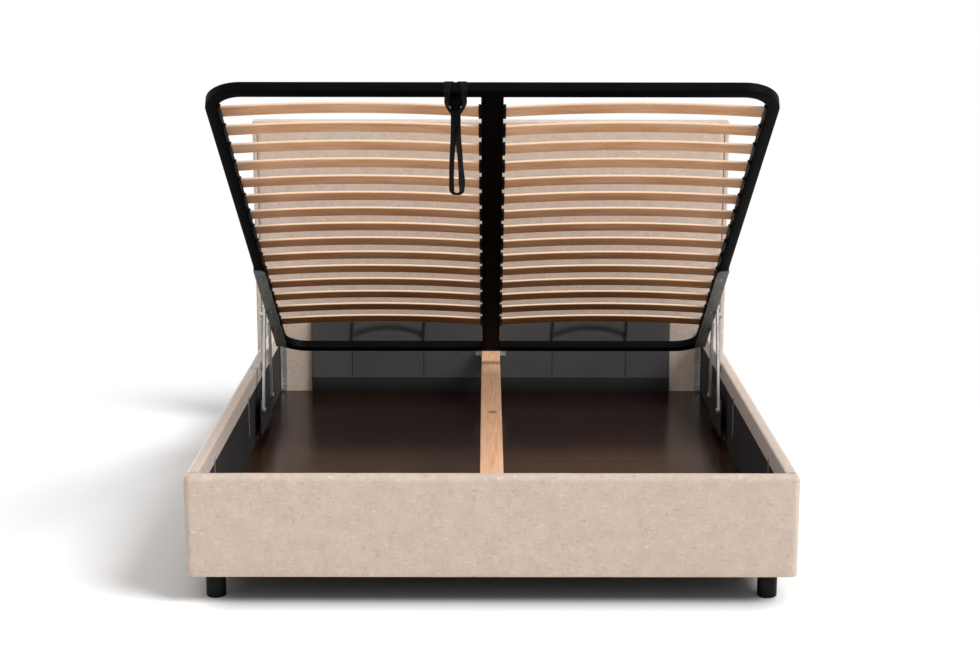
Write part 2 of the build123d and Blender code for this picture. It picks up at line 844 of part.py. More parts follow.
# Pins: each length is a pivot, where it starts and ends along X, and its diameter
frame_pin_lengths = (
    (front_top, plate_out, link_out + pivot_end_gap, pivot_diameter),
    (front_top, link_out + pivot_end_gap, link_out + pivot_end_gap + pivot_head_height, pivot_head_diameter),
    (strut_top, plate_out, eye_in - pivot_end_gap, spacer_diameter),
    (strut_top, eye_in - pivot_end_gap, eye_out, pivot_diameter),
)
pin_head_in = link_in - pivot_end_gap - pivot_head_height
base_pin_lengths = (
    (front_base, link_in - pivot_end_gap, web_in, pivot_diameter),
    (front_base, pin_head_in, link_in - pivot_end_gap, pivot_head_diameter),
    (rear_base, link_in - pivot_end_gap, web_in, pivot_diameter),
    (rear_base, pin_head_in, link_in - pivot_end_gap, pivot_head_diameter),
    (strut_base, web_out, eye_in - pivot_end_gap, spacer_diameter),
    (strut_base, eye_in - pivot_end_gap, eye_out, pivot_diameter),
)

for name, pin_lengths in (("frame_pins", frame_pin_lengths), ("base_pins", base_pin_lengths)):
    with BuildPart() as pins:
        for pivot, start, end, diameter in pin_lengths:
            with BuildSketch(side_plane(start)):
                with Locations((pivot.X, pivot.Y)):
                    Circle(diameter / 2)
            extrude(amount=end - start)
        mirror(about=Plane.YZ)
    save(pins.part, name)

# Small steel fittings on the box's inner faces

strip_top = rail_top - strip_top_drop
strip_holes = int(strip_height / strip_hole_pitch)

with BuildPart() as side_strips:
    for place in (strip_foot_setback, strip_middle_setback):
        with BuildSketch(side_plane(inner_half - strip_thickness)):
            with Locations((foot_face + place, strip_top - strip_height / 2)):
                SlotOverall(strip_height, strip_width, rotation=90)
                with GridLocations(strip_width, strip_hole_pitch, 1, strip_holes):
                    Circle(strip_hole_diameter / 2, mode=Mode.SUBTRACT)
        extrude(amount=strip_thickness)
    mirror(about=Plane.YZ)
save(side_strips.part, "side_strips")

angle_base = floor_height + angle_lift
angle_holes = int(angle_height / strip_hole_pitch)

with BuildPart() as head_angles:
    with BuildSketch(Plane.XY.offset(angle_base)):
        with BuildLine():
            Polyline(
                (inner_half, headboard_face),
                (inner_half, headboard_face - angle_width),
                (inner_half - angle_thickness, headboard_face - angle_width),
                (inner_half - angle_thickness, headboard_face - angle_thickness),
                (inner_half - angle_width, headboard_face - angle_thickness),
                (inner_half - angle_width, headboard_face),
                close=True,
            )
        make_face()
    extrude(amount=angle_height)
    with BuildSketch(side_plane(inner_half - angle_width)):
        with Locations((headboard_face - angle_width / 2, angle_base + angle_height / 2)):
            with GridLocations(angle_width, strip_hole_pitch, 1, angle_holes):
                Circle(strip_hole_diameter / 2)
    extrude(amount=angle_width + overrun, mode=Mode.SUBTRACT)
    with BuildSketch(Plane.XZ.offset(-headboard_face - overrun)):
        with Locations((inner_half - angle_width / 2, angle_base + angle_height / 2)):
            with GridLocations(angle_width, strip_hole_pitch, 1, angle_holes):
                Circle(strip_hole_diameter / 2)
    extrude(amount=angle_width / 2 + overrun, mode=Mode.SUBTRACT)
    mirror(about=Plane.YZ)
save(head_angles.part, "head_angles")

flange_middle = bracket_shelf - bracket_flange_height / 2
flange_screws = (bracket_foot + bracket_side_margin, strut_base.X, bracket_head - bracket_side_margin)

with BuildPart() as bracket_screws:
    with BuildSketch(side_plane(inner_half - plate_thickness - screw_head_height)):
        for place in flange_screws:
            with Locations((place, flange_middle)):
                Circle(screw_head_diameter / 2)
    extrude(amount=screw_head_height)
    mirror(about=Plane.YZ)
save(bracket_screws.part, "bracket_screws")

with BuildPart() as plate_rivets:
    with BuildSketch(frame_plane(-plate_thickness)):
        for reach in (plate_rivet_reach, front_pivot_reach, rear_pivot_reach - plate_rivet_margin):
            with Locations((frame_half - plate_rivet_margin, frame_length - reach)):
                Circle(screw_head_diameter / 2)
    extrude(amount=-screw_head_height)
    mirror(about=Plane.YZ)
save(plate_rivets.part, "plate_rivets")

# Pull strap: hitched round the foot bar, with a hanging loop

strap_ring_inner = strap_play
strap_ring_outer = strap_play + strap_thickness


def strap_section(x):
    """A plane across the foot bar at x: its own axes are along the frame and up its depth."""
    return Plane(origin=frame_point(x, 0, 0), x_dir=(0, tilt_cosine, -tilt_sine), z_dir=(1, 0, 0))


with BuildPart() as strap_hitch:
    for lobe in mirror_sides:
        lobe_start = -strap_offset + lobe * (strap_width + strap_lobe_gap) / 2 - strap_width / 2
        with BuildSketch(strap_section(lobe_start)):
            with Locations((tube_width / 2, tube_depth / 2)):
                RectangleRounded(tube_width + 2 * strap_ring_outer, tube_depth + 2 * strap_ring_outer,
                                 tube_edge_radius + strap_ring_outer)
                RectangleRounded(tube_width + 2 * strap_ring_inner, tube_depth + 2 * strap_ring_inner,
                                 tube_edge_radius + strap_ring_inner, mode=Mode.SUBTRACT)
        extrude(amount=strap_width)
    with BuildSketch(strap_section(-strap_offset - strap_lobe_gap / 2 - strap_thickness)):
        with Locations((tube_width / 2, -strap_ring_inner - strap_thickness / 2)):
            Rectangle(tube_width / 2, strap_thickness)
    extrude(amount=strap_lobe_gap + 2 * strap_thickness)
save(strap_hitch.part, "strap_hitch")

# The loop hangs from the lowest point of the hitch, which is round the bar's lower corner
ring_corner = Vector(*frame_point(0, tube_width - tube_edge_radius, tube_edge_radius))
ring_radius = tube_edge_radius + strap_ring_outer
strap_axis_y = ring_corner.Y
strap_axis_z = ring_corner.Z - ring_radius - strap_hang_gap - strap_roll_diameter / 2
strap_bottom = strap_axis_z - strap_drop

with BuildPart() as pull_strap:
    with BuildSketch(Plane.XZ.offset(-strap_axis_y - strap_thickness)):
        with BuildLine():
            Polyline(
                (-strap_offset - strap_neck_width / 2, strap_axis_z),
                (-strap_offset + strap_neck_width / 2, strap_axis_z),
                (-strap_offset + strap_foot_width / 2, strap_bottom + strap_foot_width / 2),
            )
            RadiusArc(
                (-strap_offset + strap_foot_width / 2, strap_bottom + strap_foot_width / 2),
                (-strap_offset - strap_foot_width / 2, strap_bottom + strap_foot_width / 2),
                strap_foot_width / 2,
            )
            Line(
                (-strap_offset - strap_foot_width / 2, strap_bottom + strap_foot_width / 2),
                (-strap_offset - strap_neck_width / 2, strap_axis_z),
            )
        make_face()
        with Locations((-strap_offset, strap_bottom + strap_drop / 2)):
            SlotOverall(strap_drop - 2 * strap_strand, strap_foot_width - 2 * strap_strand,
                        rotation=90, mode=Mode.SUBTRACT)
    extrude(amount=2 * strap_thickness)
    with BuildSketch(side_plane(-strap_offset - strap_neck_width / 2)):
        with Locations((strap_axis_y, strap_axis_z)):
            Circle(strap_roll_diameter / 2)
    extrude(amount=strap_neck_width)
save(pull_strap.part, "pull_strap")

for word, pivot in (("front base", front_base), ("front top", front_top), ("rear base", rear_base),
                    ("rear top", rear_top), ("strut base", strut_base), ("strut top", strut_top)):
    print("%s pivot: y %.3f z %.3f" % (word, pivot.X, pivot.Y))
print("strap axis: y %.3f z %.3f" % (strap_axis_y, strap_axis_z))
print("frame head end: y %.3f z %.3f" % (open_head, open_height))
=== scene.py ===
# %% [markdown]
# # An upholstered storage bed with its slatted base raised
# The bed is a padded fabric box on short legs with a padded headboard behind it. Its slatted base is
# shown open: a lift mechanism on each side holds a black steel frame with two columns of bowed slats
# at about 33 degrees, so that the dark inside of the box can be seen.
#
# The hard parts come from a CAD model that is already packed, with its bodies and joints. This lesson
# loads that model as a frame, gives each part a finish, and models the cloth, the wood and the
# rounded pieces anew where the plain solids are too simple. Everything is in metres, X runs across
# the bed, Y from the foot to the headboard, and Z up.

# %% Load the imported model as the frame
import math
import bmesh
import bpy
from mathutils import Color, Matrix, Vector, noise


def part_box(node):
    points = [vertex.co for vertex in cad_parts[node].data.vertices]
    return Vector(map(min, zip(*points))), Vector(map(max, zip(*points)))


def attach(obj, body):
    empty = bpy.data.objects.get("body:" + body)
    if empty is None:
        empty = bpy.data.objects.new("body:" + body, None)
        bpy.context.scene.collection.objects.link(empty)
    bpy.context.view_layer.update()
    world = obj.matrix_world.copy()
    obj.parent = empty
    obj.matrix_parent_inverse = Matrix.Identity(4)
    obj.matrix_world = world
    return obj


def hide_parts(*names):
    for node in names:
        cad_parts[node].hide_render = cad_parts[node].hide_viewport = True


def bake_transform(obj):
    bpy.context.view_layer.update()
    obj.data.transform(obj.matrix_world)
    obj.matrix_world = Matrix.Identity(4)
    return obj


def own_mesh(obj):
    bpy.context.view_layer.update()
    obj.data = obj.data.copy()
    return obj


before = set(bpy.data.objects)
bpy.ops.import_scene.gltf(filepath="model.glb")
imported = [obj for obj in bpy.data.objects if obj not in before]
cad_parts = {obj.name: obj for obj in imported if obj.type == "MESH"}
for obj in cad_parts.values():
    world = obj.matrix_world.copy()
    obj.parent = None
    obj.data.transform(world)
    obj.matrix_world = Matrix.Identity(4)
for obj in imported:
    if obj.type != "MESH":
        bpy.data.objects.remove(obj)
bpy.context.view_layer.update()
print("parts loaded:", len(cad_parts))

# %% [markdown]
# ## Finishes
# Each finish is one material: a Principled shader whose colour and bump come from noise patterns on
# the piece's own coordinates. Image textures could do this too, but patterns need no files and stay
# sharp at any size. A few small helpers keep each finish down to the lines that say what it is.

# %% Helpers for a material's nodes
def paint(red, green, blue):
    """A colour as a screen shows it, 0 to 255, on the shader's own scale."""
    colour = Color((red / 255, green / 255, blue / 255)).from_srgb_to_scene_linear()
    return (*colour, 1.0)


def shader_of(material):
    """The one shader of a finish."""
    return material.node_tree.nodes["Principled BSDF"]


def finish(name, roughness, metallic=0.0, specular=0.5, sheen=0.0):
    """A new material, with what is the same all over it set on the shader's own sockets."""
    material = bpy.data.materials.new(name + "_finish")
    material["slot"] = name
    material.use_nodes = True
    for socket, value in (("Roughness", roughness), ("Metallic", metallic),
                          ("Specular IOR Level", specular), ("Sheen Weight", sheen)):
        shader_of(material).inputs[socket].default_value = value
    return material


def add_node(owner, kind, **settings):
    """A new node of one kind in a material or a world, with its settings."""
    made = owner.node_tree.nodes.new(kind)
    for setting, value in settings.items():
        setattr(made, setting, value)
    return made


def wire(owner, source, socket):
    """Give an input what it reads: another node's output, or a plain value."""
    if isinstance(source, bpy.types.NodeSocket):
        owner.node_tree.links.new(source, socket)
    else:
        socket.default_value = source


def mesh_layer(material, name, output="Fac"):
    """What a layer stored on the mesh says at each point."""
    return add_node(material, "ShaderNodeAttribute", attribute_name=name).outputs[output]


def place_on(material, stretch=(1, 1, 1), layer=None):
    """Where a point is on its piece, or in a layer stored on the mesh, stretched along each axis."""
    mapping = add_node(material, "ShaderNodeMapping")
    wire(material, stretch, mapping.inputs["Scale"])
    if layer:
        source = mesh_layer(material, layer, "Vector")
    else:
        source = add_node(material, "ShaderNodeTexCoord").outputs["Object"]
    wire(material, source, mapping.inputs["Vector"])
    return mapping.outputs["Vector"]


def speckle(material, where, size, detail=2.0, distortion=0.0):
    """Noise from 0 to 1 whose spots are about size metres across."""
    pattern = add_node(material, "ShaderNodeTexNoise")
    for socket, value in (("Vector", where), ("Scale", 1 / size), ("Detail", detail),
                          ("Distortion", distortion)):
        wire(material, value, pattern.inputs[socket])
    return pattern.outputs["Fac"]


def bands(material, where, scale, distortion=0.0, **settings):
    """A wave from 0 to 1 that makes bands across one direction."""
    wave = add_node(material, "ShaderNodeTexWave", **settings)
    for socket, value in (("Vector", where), ("Scale", scale), ("Distortion", distortion)):
        wire(material, value, wave.inputs[socket])
    return wave.outputs["Fac"]


def spread(owner, value, given=(0.0, 1.0), wanted=(0.0, 1.0), way="LINEAR"):
    """A value moved from a given range to a wanted one, and held inside it."""
    levels = add_node(owner, "ShaderNodeMapRange", interpolation_type=way)
    for socket, level in zip(("From Min", "From Max", "To Min", "To Max"), given + wanted):
        levels.inputs[socket].default_value = level
    wire(owner, value, levels.inputs["Value"])
    return levels.outputs["Result"]


def of_vectors(owner, operation, first, second=(0, 0, 0)):
    """What an operation makes of one or two vectors: a length or distance, or else a vector."""
    worked = add_node(owner, "ShaderNodeVectorMath", operation=operation)
    wire(owner, first, worked.inputs[0])
    wire(owner, second, worked.inputs[1])
    return worked.outputs["Value" if operation in ("LENGTH", "DISTANCE") else "Vector"]


def of_numbers(owner, operation, first, second):
    """What an operation makes of two numbers."""
    worked = add_node(owner, "ShaderNodeMath", operation=operation)
    wire(owner, first, worked.inputs[0])
    wire(owner, second, worked.inputs[1])
    return worked.outputs["Value"]


def part_of(material, vector, axis):
    """One coordinate of a vector."""
    split = add_node(material, "ShaderNodeSeparateXYZ")
    wire(material, vector, split.inputs["Vector"])
    return split.outputs[axis]


def grey(value):
    """A plain grey that multiplies a colour."""
    return (value, value, value, 1.0)


def shades(material, value, *stops):
    """Colours along a ramp: each stop is a place from 0 to 1 and a colour."""
    ramp = add_node(material, "ShaderNodeValToRGB")
    while len(ramp.color_ramp.elements) < len(stops):
        ramp.color_ramp.elements.new(0.5)
    for element, (position, colour) in zip(ramp.color_ramp.elements, stops):
        element.position = position
        element.color = colour
    wire(material, value, ramp.inputs["Fac"])
    return ramp.outputs["Color"]


def layer_over(material, below, above, share=1.0, way="MULTIPLY"):
    """One colour laid over another. The share is a number or a pattern."""
    mix = add_node(material, "ShaderNodeMix", data_type="RGBA", blend_type=way)
    wire(material, share, mix.inputs[0])
    wire(material, below, mix.inputs[6])
    wire(material, above, mix.inputs[7])
    return mix.outputs[2]


def tint(material, colour, value, *stops):
    """A colour multiplied by the shades that a value runs through."""
    return layer_over(material, colour, shades(material, value, *stops))


def colour_with(material, colour):
    """Send a colour to the shader."""
    wire(material, colour, shader_of(material).inputs["Base Color"])


def roughen_with(material, value, low, high):
    """Let a pattern move the roughness between two values."""
    wire(material, spread(material, value, wanted=(low, high)), shader_of(material).inputs["Roughness"])


def raise_with(material, height, depth, strength=1.0):
    """Let a pattern stand up by depth metres, on top of any bump that is already there."""
    normal = shader_of(material).inputs["Normal"]
    bump = add_node(material, "ShaderNodeBump")
    for socket, value in (("Height", height), ("Distance", depth), ("Strength", strength)):
        wire(material, value, bump.inputs[socket])
    if normal.is_linked:
        wire(material, normal.links[0].from_socket, bump.inputs["Normal"])
    wire(material, bump.outputs["Normal"], normal)


def along_bed(material):
    """How far a point lies along the bed, from 0 near the foot end to 1 near the headboard."""
    return spread(material, part_of(material, place_on(material), "Y"), given=(-1.0, 1.0))


print("helpers ready")

# %% [markdown]
# ## Upholstery cloth
# The cover is a warm beige chenille with an even ground. Seen close, short slubs of 5 to 15 mm lie on
# it, some lighter and some darker, part of them across and part of them upright, as the thick places
# of the weft and the warp do. Each set is noise that is stretched one way, and most of its range is
# the plain ground, so that the slubs stay sparse. A fine noise at thread size gives the soft pile.

# %% Make the upholstery cloth
slub_size = 0.0062
slub_stretch = 0.32
upholstery = finish("upholstery", roughness=0.92, specular=0.15, sheen=0.8)
wire(upholstery, 0.35, shader_of(upholstery).inputs["Sheen Roughness"])
across_cloth = place_on(upholstery, stretch=(slub_stretch, slub_stretch, 1))
up_cloth = place_on(upholstery, stretch=(1, 1, slub_stretch))
weft = speckle(upholstery, across_cloth, slub_size, detail=3.0, distortion=0.5)
warp = speckle(upholstery, up_cloth, slub_size, detail=3.0, distortion=0.5)
patches = speckle(upholstery, place_on(upholstery), size=0.035, detail=4.0)
threads = speckle(upholstery, place_on(upholstery), size=0.0016, detail=1.0)
ground = paint(213, 194, 179)
cloth = shades(upholstery, weft, (0.27, paint(194, 174, 159)), (0.4, ground), (0.6, ground),
               (0.72, paint(228, 212, 199)))
cloth = tint(upholstery, cloth, warp, (0.27, grey(0.86)), (0.4, grey(1.0)), (0.6, grey(1.0)),
             (0.72, grey(1.1)))
cloth = tint(upholstery, cloth, patches, (0.35, grey(0.93)), (0.65, grey(1.02)))
cloth = tint(upholstery, cloth, threads, (0.3, grey(0.93)), (0.7, grey(1.0)))
colour_with(upholstery, cloth)
raise_with(upholstery, threads, depth=0.0004, strength=0.4)
for slubs in (weft, warp):
    raise_with(upholstery, slubs, depth=0.0005, strength=0.35)
print("finish:", upholstery.name)

# %% [markdown]
# ## Linings
# The box is lined with a thin non-woven cloth, nearly black. Pressed fibres give it a faint speckle, and it
# lies in slack, shallow waves. A sewn seam draws the cloth in, and a mesh layer says where, so that painted
# shade can darken the colour in the seam's groove. The head end's panel is the same cloth painted a little
# greyer than the sides, as painted light on the head end, and the headboard's back is closed with the same
# kind of cloth, only blacker.

# %% Make the box lining and the back cloth
def felted_cloth(name, dark, light):
    """A thin non-woven cloth with a faint speckle of fibres."""
    material = finish(name, roughness=0.85, specular=0.25)
    where = place_on(material)
    fibres = speckle(material, where, size=0.004, detail=4.0, distortion=0.6)
    waves = speckle(material, where, size=0.22, detail=2.0)
    colour = shades(material, fibres, (0.3, dark), (0.7, light))
    colour = tint(material, colour, waves, (0.3, grey(0.8)), (0.7, grey(1.0)))
    # Painted shade: the colour darkens where the mesh layer marks a seam's groove.
    colour = layer_over(material, colour, grey(0.3), share=mesh_layer(material, "seam"))
    colour_with(material, colour)
    raise_with(material, fibres, depth=0.0003, strength=0.5)
    raise_with(material, waves, depth=0.006, strength=0.35)
    return material


box_lining = felted_cloth("box_lining", paint(44, 42, 43), paint(56, 54, 55))
# Painted light: a lighter copy of the lining cloth for the head end's panel, which shares the lining's slot.
head_cloth = felted_cloth("head_cloth", paint(73, 71, 72), paint(90, 88, 89))
head_cloth["slot"] = "box_lining"
back_cloth = felted_cloth("back_cloth", paint(26, 26, 27), paint(37, 37, 38))
print("finishes:", box_lining.name, head_cloth.name, back_cloth.name)

# %% [markdown]
# ## Floor boards
# The floor of the box is dark brown laminated board with a slight gloss. Its printed grain runs from the
# foot to the head and hardly shows: thin streaks, close to the ground colour, and faint lines that divide it
# into planks. The grain is noise stretched along Y, and the lines are the narrow peaks of a wave across X.
# Towards the foot end the colour is painted lighter and warmer, as painted light where the lamps reach the
# floor, and towards the head end darker, as painted shade under the raised base. A printed joint runs across
# it.

# %% Make the dark laminate
joint_start = 0.482
joint_end = 0.488
joint_edge = 0.0025
laminate = finish("dark_laminate", roughness=0.2, specular=0.25)
on_board = place_on(laminate, stretch=(1, 0.02, 1))
streaks = speckle(laminate, on_board, size=0.006, detail=3.0, distortion=0.3)
board = shades(laminate, streaks, (0.3, paint(34, 20, 16)), (0.55, paint(39, 22, 18)),
               (0.75, paint(45, 26, 21)))
# Painted light and shade: lighter and warmer towards the foot end, where the lamps reach the floor, darker
# towards the head end under the raised base.
board = tint(laminate, board, along_bed(laminate), (0.5, (2.8, 3.3, 2.1, 1.0)), (0.6, grey(1.0)),
             (0.8, grey(0.8)), (0.95, grey(0.5)))
board = tint(laminate, board, along_bed(laminate), (joint_start, grey(1.0)),
             (joint_start + joint_edge, grey(0.3)), (joint_end - joint_edge, grey(0.3)),
             (joint_end, grey(1.0)))
planks = bands(laminate, place_on(laminate), 1.6, bands_direction="X", wave_profile="SAW")
board = tint(laminate, board, planks, (0.0, grey(0.6)), (0.02, grey(1.0)))
colour_with(laminate, board)
roughen_with(laminate, streaks, 0.16, 0.24)
raise_with(laminate, streaks, depth=0.0001, strength=0.25)
print("finish:", laminate.name)

# %% [markdown]
# ## Woods
# The slats are bent birch plywood with a clear lacquer: pale, with fine grain along their length.
# Their edges are sanded and show the plies as thin lines. The slats bend, so their pattern reads a layer of
# the mesh that keeps each point's place from before the bending. The undersides are painted browner nearer
# the headboard, as painted shade under the raised base, and each slat is painted darker towards its outer
# end, as painted shade from the tube and holder. The middle beam is planed pine, redder, with wide grain
# along Y and a small knot, and it is painted darker towards the headboard, as painted shade.

# %% Make the slats' birch
birch = finish("birch", roughness=0.5, specular=0.4)
on_slat = place_on(birch, stretch=(0.05, 1, 1), layer="flat")
slat_grain = speckle(birch, on_slat, size=0.006, detail=5.0, distortion=0.5)
slat_tone = speckle(birch, place_on(birch, stretch=(0.4, 1, 1)), size=0.09, detail=1.0)
veneer = shades(birch, slat_grain, (0.3, paint(206, 156, 118)), (0.5, paint(220, 173, 135)),
                (0.72, paint(231, 188, 152)))
veneer = tint(birch, veneer, slat_tone, (0.35, paint(240, 226, 214)), (0.65, grey(1.0)))
plies = bands(birch, place_on(birch, layer="flat"), 130, bands_direction="Z")
sanded = shades(birch, plies, (0.2, paint(224, 188, 154)), (0.6, paint(244, 216, 188)))
veneer = layer_over(birch, veneer, sanded, share=mesh_layer(birch, "edge"), way="MIX")
from_middle = of_vectors(birch, "ABSOLUTE", place_on(birch, layer="flat"))
# Painted shade: each slat is darkened towards its outer end, where the tube and its holder shade it.
end_shade_from = 0.66
slat_tip = 0.757
veneer = tint(birch, veneer, part_of(birch, from_middle, "X"), (end_shade_from, grey(1.0)),
              (slat_tip, grey(0.6)))
# Painted shade: the undersides turn browner towards the headboard, where the raised base shades them.
underside = shades(birch, part_of(birch, from_middle, "Z"), (0.0048, grey(1.0)), (0.0068, grey(0.0)))
underside_shade = shades(birch, along_bed(birch), (0.15, grey(1.0)), (0.45, (0.69, 0.57, 0.45, 1.0)),
                     (0.65, (0.48, 0.36, 0.22, 1.0)))
veneer = layer_over(birch, veneer, underside_shade, share=underside)
colour_with(birch, veneer)
raise_with(birch, slat_grain, depth=0.0002, strength=0.4)
print("finish:", birch.name)

# %% Make the beam's pine, the battens' softwood and the chipboard
def sawn_wood(name, dark, middle, light, along, width=0.012, knot=None):
    """Wood with its grain along one axis, which is the stretched one."""
    material = finish(name, roughness=0.6, specular=0.3)
    where = place_on(material, stretch=along)
    rings = speckle(material, where, size=width, detail=4.0, distortion=1.6)
    pores = speckle(material, where, size=width / 5, detail=2.0)
    colour = shades(material, rings, (0.3, dark), (0.5, middle), (0.7, light))
    colour = tint(material, colour, pores, (0.3, grey(0.9)), (0.6, grey(1.0)))
    if knot:
        from_knot = of_vectors(material, "DISTANCE", place_on(material), knot)
        colour = tint(material, colour, from_knot, (0.004, grey(0.3)), (0.011, paint(190, 140, 110)),
                      (0.02, grey(1.0)))
        # Painted shade: the beam is darker towards the headboard, under the raised base.
        colour = tint(material, colour, along_bed(material), (0.1, grey(1.0)), (0.9, grey(0.7)))
    colour_with(material, colour)
    raise_with(material, rings, depth=0.0004, strength=0.5)
    return material


pine = sawn_wood("pine", paint(218, 164, 127), paint(234, 184, 147), paint(242, 197, 162),
                 along=(1, 0.04, 1), knot=(0.004, -0.09, 0.322))
batten_wood = sawn_wood("batten_wood", paint(196, 160, 118), paint(214, 180, 138), paint(226, 196, 156),
                        along=(0.06, 1, 1))
chipboard = finish("chipboard", roughness=0.8, specular=0.2)
chips = speckle(chipboard, place_on(chipboard), size=0.005, detail=3.0, distortion=1.5)
colour_with(chipboard, shades(chipboard, chips, (0.3, paint(150, 122, 88)), (0.5, paint(188, 160, 120)),
                              (0.7, paint(214, 190, 150))))
raise_with(chipboard, chips, depth=0.0004, strength=0.6)
print("finishes:", pine.name, batten_wood.name, chipboard.name)

# %% [markdown]
# ## Plastics and metals
# The lift frame has a satin black powder coat with the faint dimples of all powder coats. The plates and
# brackets are powder coated grey, the bars, pins and screws are zinc plated, and the slat holders and legs
# are moulded black plastic; the brackets get a darker copy of the grey, as painted shade low in the box. One
# helper makes them all: a base colour that drifts a little, a roughness that drifts with it, and a bump at
# the size of the coat's dimples.

# %% Make the coats, the plating and the plastic
def coated(name, dark, light, roughness, specular, metallic=0.0, dimple=0.002, depth=0.0002):
    """A painted, plated or moulded surface with faint dimples."""
    material = finish(name, roughness, metallic, specular)
    where = place_on(material)
    drift = speckle(material, where, size=0.05, detail=3.0)
    dimples = speckle(material, where, size=dimple, detail=1.0)
    colour_with(material, shades(material, drift, (0.35, dark), (0.65, light)))
    roughen_with(material, drift, roughness - 0.06, roughness + 0.06)
    raise_with(material, dimples, depth=depth, strength=0.4)
    return material


black_steel = coated("black_steel", paint(1, 1, 2), paint(3, 3, 4), roughness=0.55, specular=0.04)
grey_steel = coated("grey_steel", paint(104, 106, 104), paint(122, 124, 121),
                    roughness=0.45, specular=0.4, metallic=0.1)
# Painted shade: a darker copy of the grey steel for the brackets, which share its slot.
bracket_steel = coated("bracket_steel", paint(46, 47, 46), paint(58, 59, 57),
                       roughness=0.5, specular=0.3, metallic=0.1)
bracket_steel["slot"] = "grey_steel"
zinc_steel = coated("zinc_steel", paint(186, 187, 186), paint(212, 213, 210),
                    roughness=0.38, specular=0.5, metallic=0.75, dimple=0.004, depth=0.0001)
strut_paint = coated("strut_paint", paint(168, 168, 164), paint(186, 186, 182),
                     roughness=0.35, specular=0.5, metallic=0.2, dimple=0.003, depth=0.0001)
chromed_rod = coated("chromed_rod", paint(214, 214, 214), paint(226, 226, 226),
                     roughness=0.14, specular=0.5, metallic=1.0, dimple=0.01, depth=0.00005)
black_plastic = coated("black_plastic", paint(5, 5, 6), paint(9, 9, 10),
                       roughness=0.45, specular=0.15, dimple=0.0012, depth=0.0001)
print("finishes:", black_steel.name, grey_steel.name, zinc_steel.name, black_plastic.name)

# %% [markdown]
# ## Webbing
# The pull strap is flat black webbing, woven from thick yarns that run along it, so it has fine ribs.
# The strap twists and turns, so the pattern can't read plain coordinates. It reads a layer of the
# mesh that holds how far along and how far across the band each point is.

# %% Make the webbing
webbing = finish("webbing", roughness=0.85, specular=0.12)
on_band = place_on(webbing, layer="band")
weave = bands(webbing, on_band, 90, distortion=0.5, bands_direction="DIAGONAL")
yarn = speckle(webbing, on_band, size=0.0015, detail=2.0)
band = shades(webbing, weave, (0.2, paint(4, 4, 5)), (0.8, paint(15, 15, 16)))
band = tint(webbing, band, yarn, (0.3, grey(0.75)), (0.7, grey(1.0)))
colour_with(webbing, band)
raise_with(webbing, weave, depth=0.0006, strength=0.7)
print("finish:", webbing.name)

# %% [markdown]
# ## Dress the parts that keep their CAD shape
# Floor panels, battens, the mechanism's plates, bars, struts, pins and screws have the right shape
# already. They only need their finish, so each part's name is listed under its finish.

# %% Give the kept parts their finish
finish_of_part = {
    chipboard: ["foot_board", "left_rail_board", "right_rail_board", "headboard_panel"],
    laminate: ["floor_panel_left_foot", "floor_panel_left_head", "floor_panel_right_foot",
               "floor_panel_right_head"],
    batten_wood: ["side_battens", "cross_battens", "corner_blocks"],
    pine: ["centre_beam"],
    grey_steel: ["frame_plates"],
    bracket_steel: ["base_brackets"],
    zinc_steel: ["front_links", "rear_links", "base_pins", "frame_pins", "plate_rivets", "bracket_screws",
                 "side_strips", "head_angles", "beam_hangers"],
    strut_paint: ["strut_cylinders"],
    chromed_rod: ["strut_rods"],
    black_steel: ["beam_post"],
}
for material, parts in finish_of_part.items():
    for part in parts:
        node_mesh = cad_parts[part].data
        node_mesh.materials.clear()
        node_mesh.materials.append(material)
print("parts dressed:", sum(len(parts) for parts in finish_of_part.values()))

# %% [markdown]
# ## Tools for modelling
# A new piece starts as a bmesh, is shaped there, and then becomes an object. One helper does that last step
# for every piece: it merges doubles, turns the faces outwards, shades the curves smooth and keeps real edges
# sharp, puts the piece on the body it rides on, and hides the CAD parts it stands for.
# The others find the edges to round, cut a shape into bands that can bend, and add slow ripples.

# %% Helpers for pieces
SHARP_EDGE = math.radians(38)
SQUARE_EDGE = 1.2
WELD_REACH = 0.00001
CUT_REACH = 0.000001
SAME_PLACE = 0.00002
SAME_WAY = 0.99
ACROSS = Vector((1, 0, 0))
ALONG = Vector((0, 1, 0))
UP = Vector((0, 0, 1))


def put_in_scene(name, data):
    """An object in the scene, round a mesh, a lamp or a camera."""
    placed = bpy.data.objects.new(name, data)
    bpy.context.scene.collection.objects.link(placed)
    return placed


def seal(shape):
    """Merge doubles and turn the faces outwards."""
    bmesh.ops.remove_doubles(shape, verts=shape.verts, dist=WELD_REACH)
    bmesh.ops.recalc_face_normals(shape, faces=shape.faces)


def finish_piece(name, shape, body, material, stands_for=()):
    """Turn a bmesh into an object in the scene, riding on a body."""
    seal(shape)
    for face in shape.faces:
        face.smooth = True
    for edge in shape.edges:
        edge.smooth = edge.calc_face_angle(0.0) < SHARP_EDGE
    mesh = bpy.data.meshes.new(name)
    shape.to_mesh(mesh)
    shape.free()
    mesh.materials.append(material)
    piece = put_in_scene(name, mesh)
    if body:
        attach(piece, body)
    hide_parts(*stands_for)
    print(name, "has", len(mesh.polygons), "faces")
    return piece


def slab(one, other):
    """A plain block between two opposite corners, as a start."""
    low = Vector([min(pair) for pair in zip(one, other)])
    high = Vector([max(pair) for pair in zip(one, other)])
    shape = bmesh.new()
    bmesh.ops.create_cube(shape, size=1.0)
    bmesh.ops.scale(shape, vec=high - low, verts=shape.verts)
    bmesh.ops.translate(shape, vec=(high + low) / 2, verts=shape.verts)
    return shape


def join_into(whole, part):
    """Add a finished part to a larger shape."""
    carried = bpy.data.meshes.new("carried")
    part.to_mesh(carried)
    part.free()
    whole.from_mesh(carried)
    bpy.data.meshes.remove(carried)


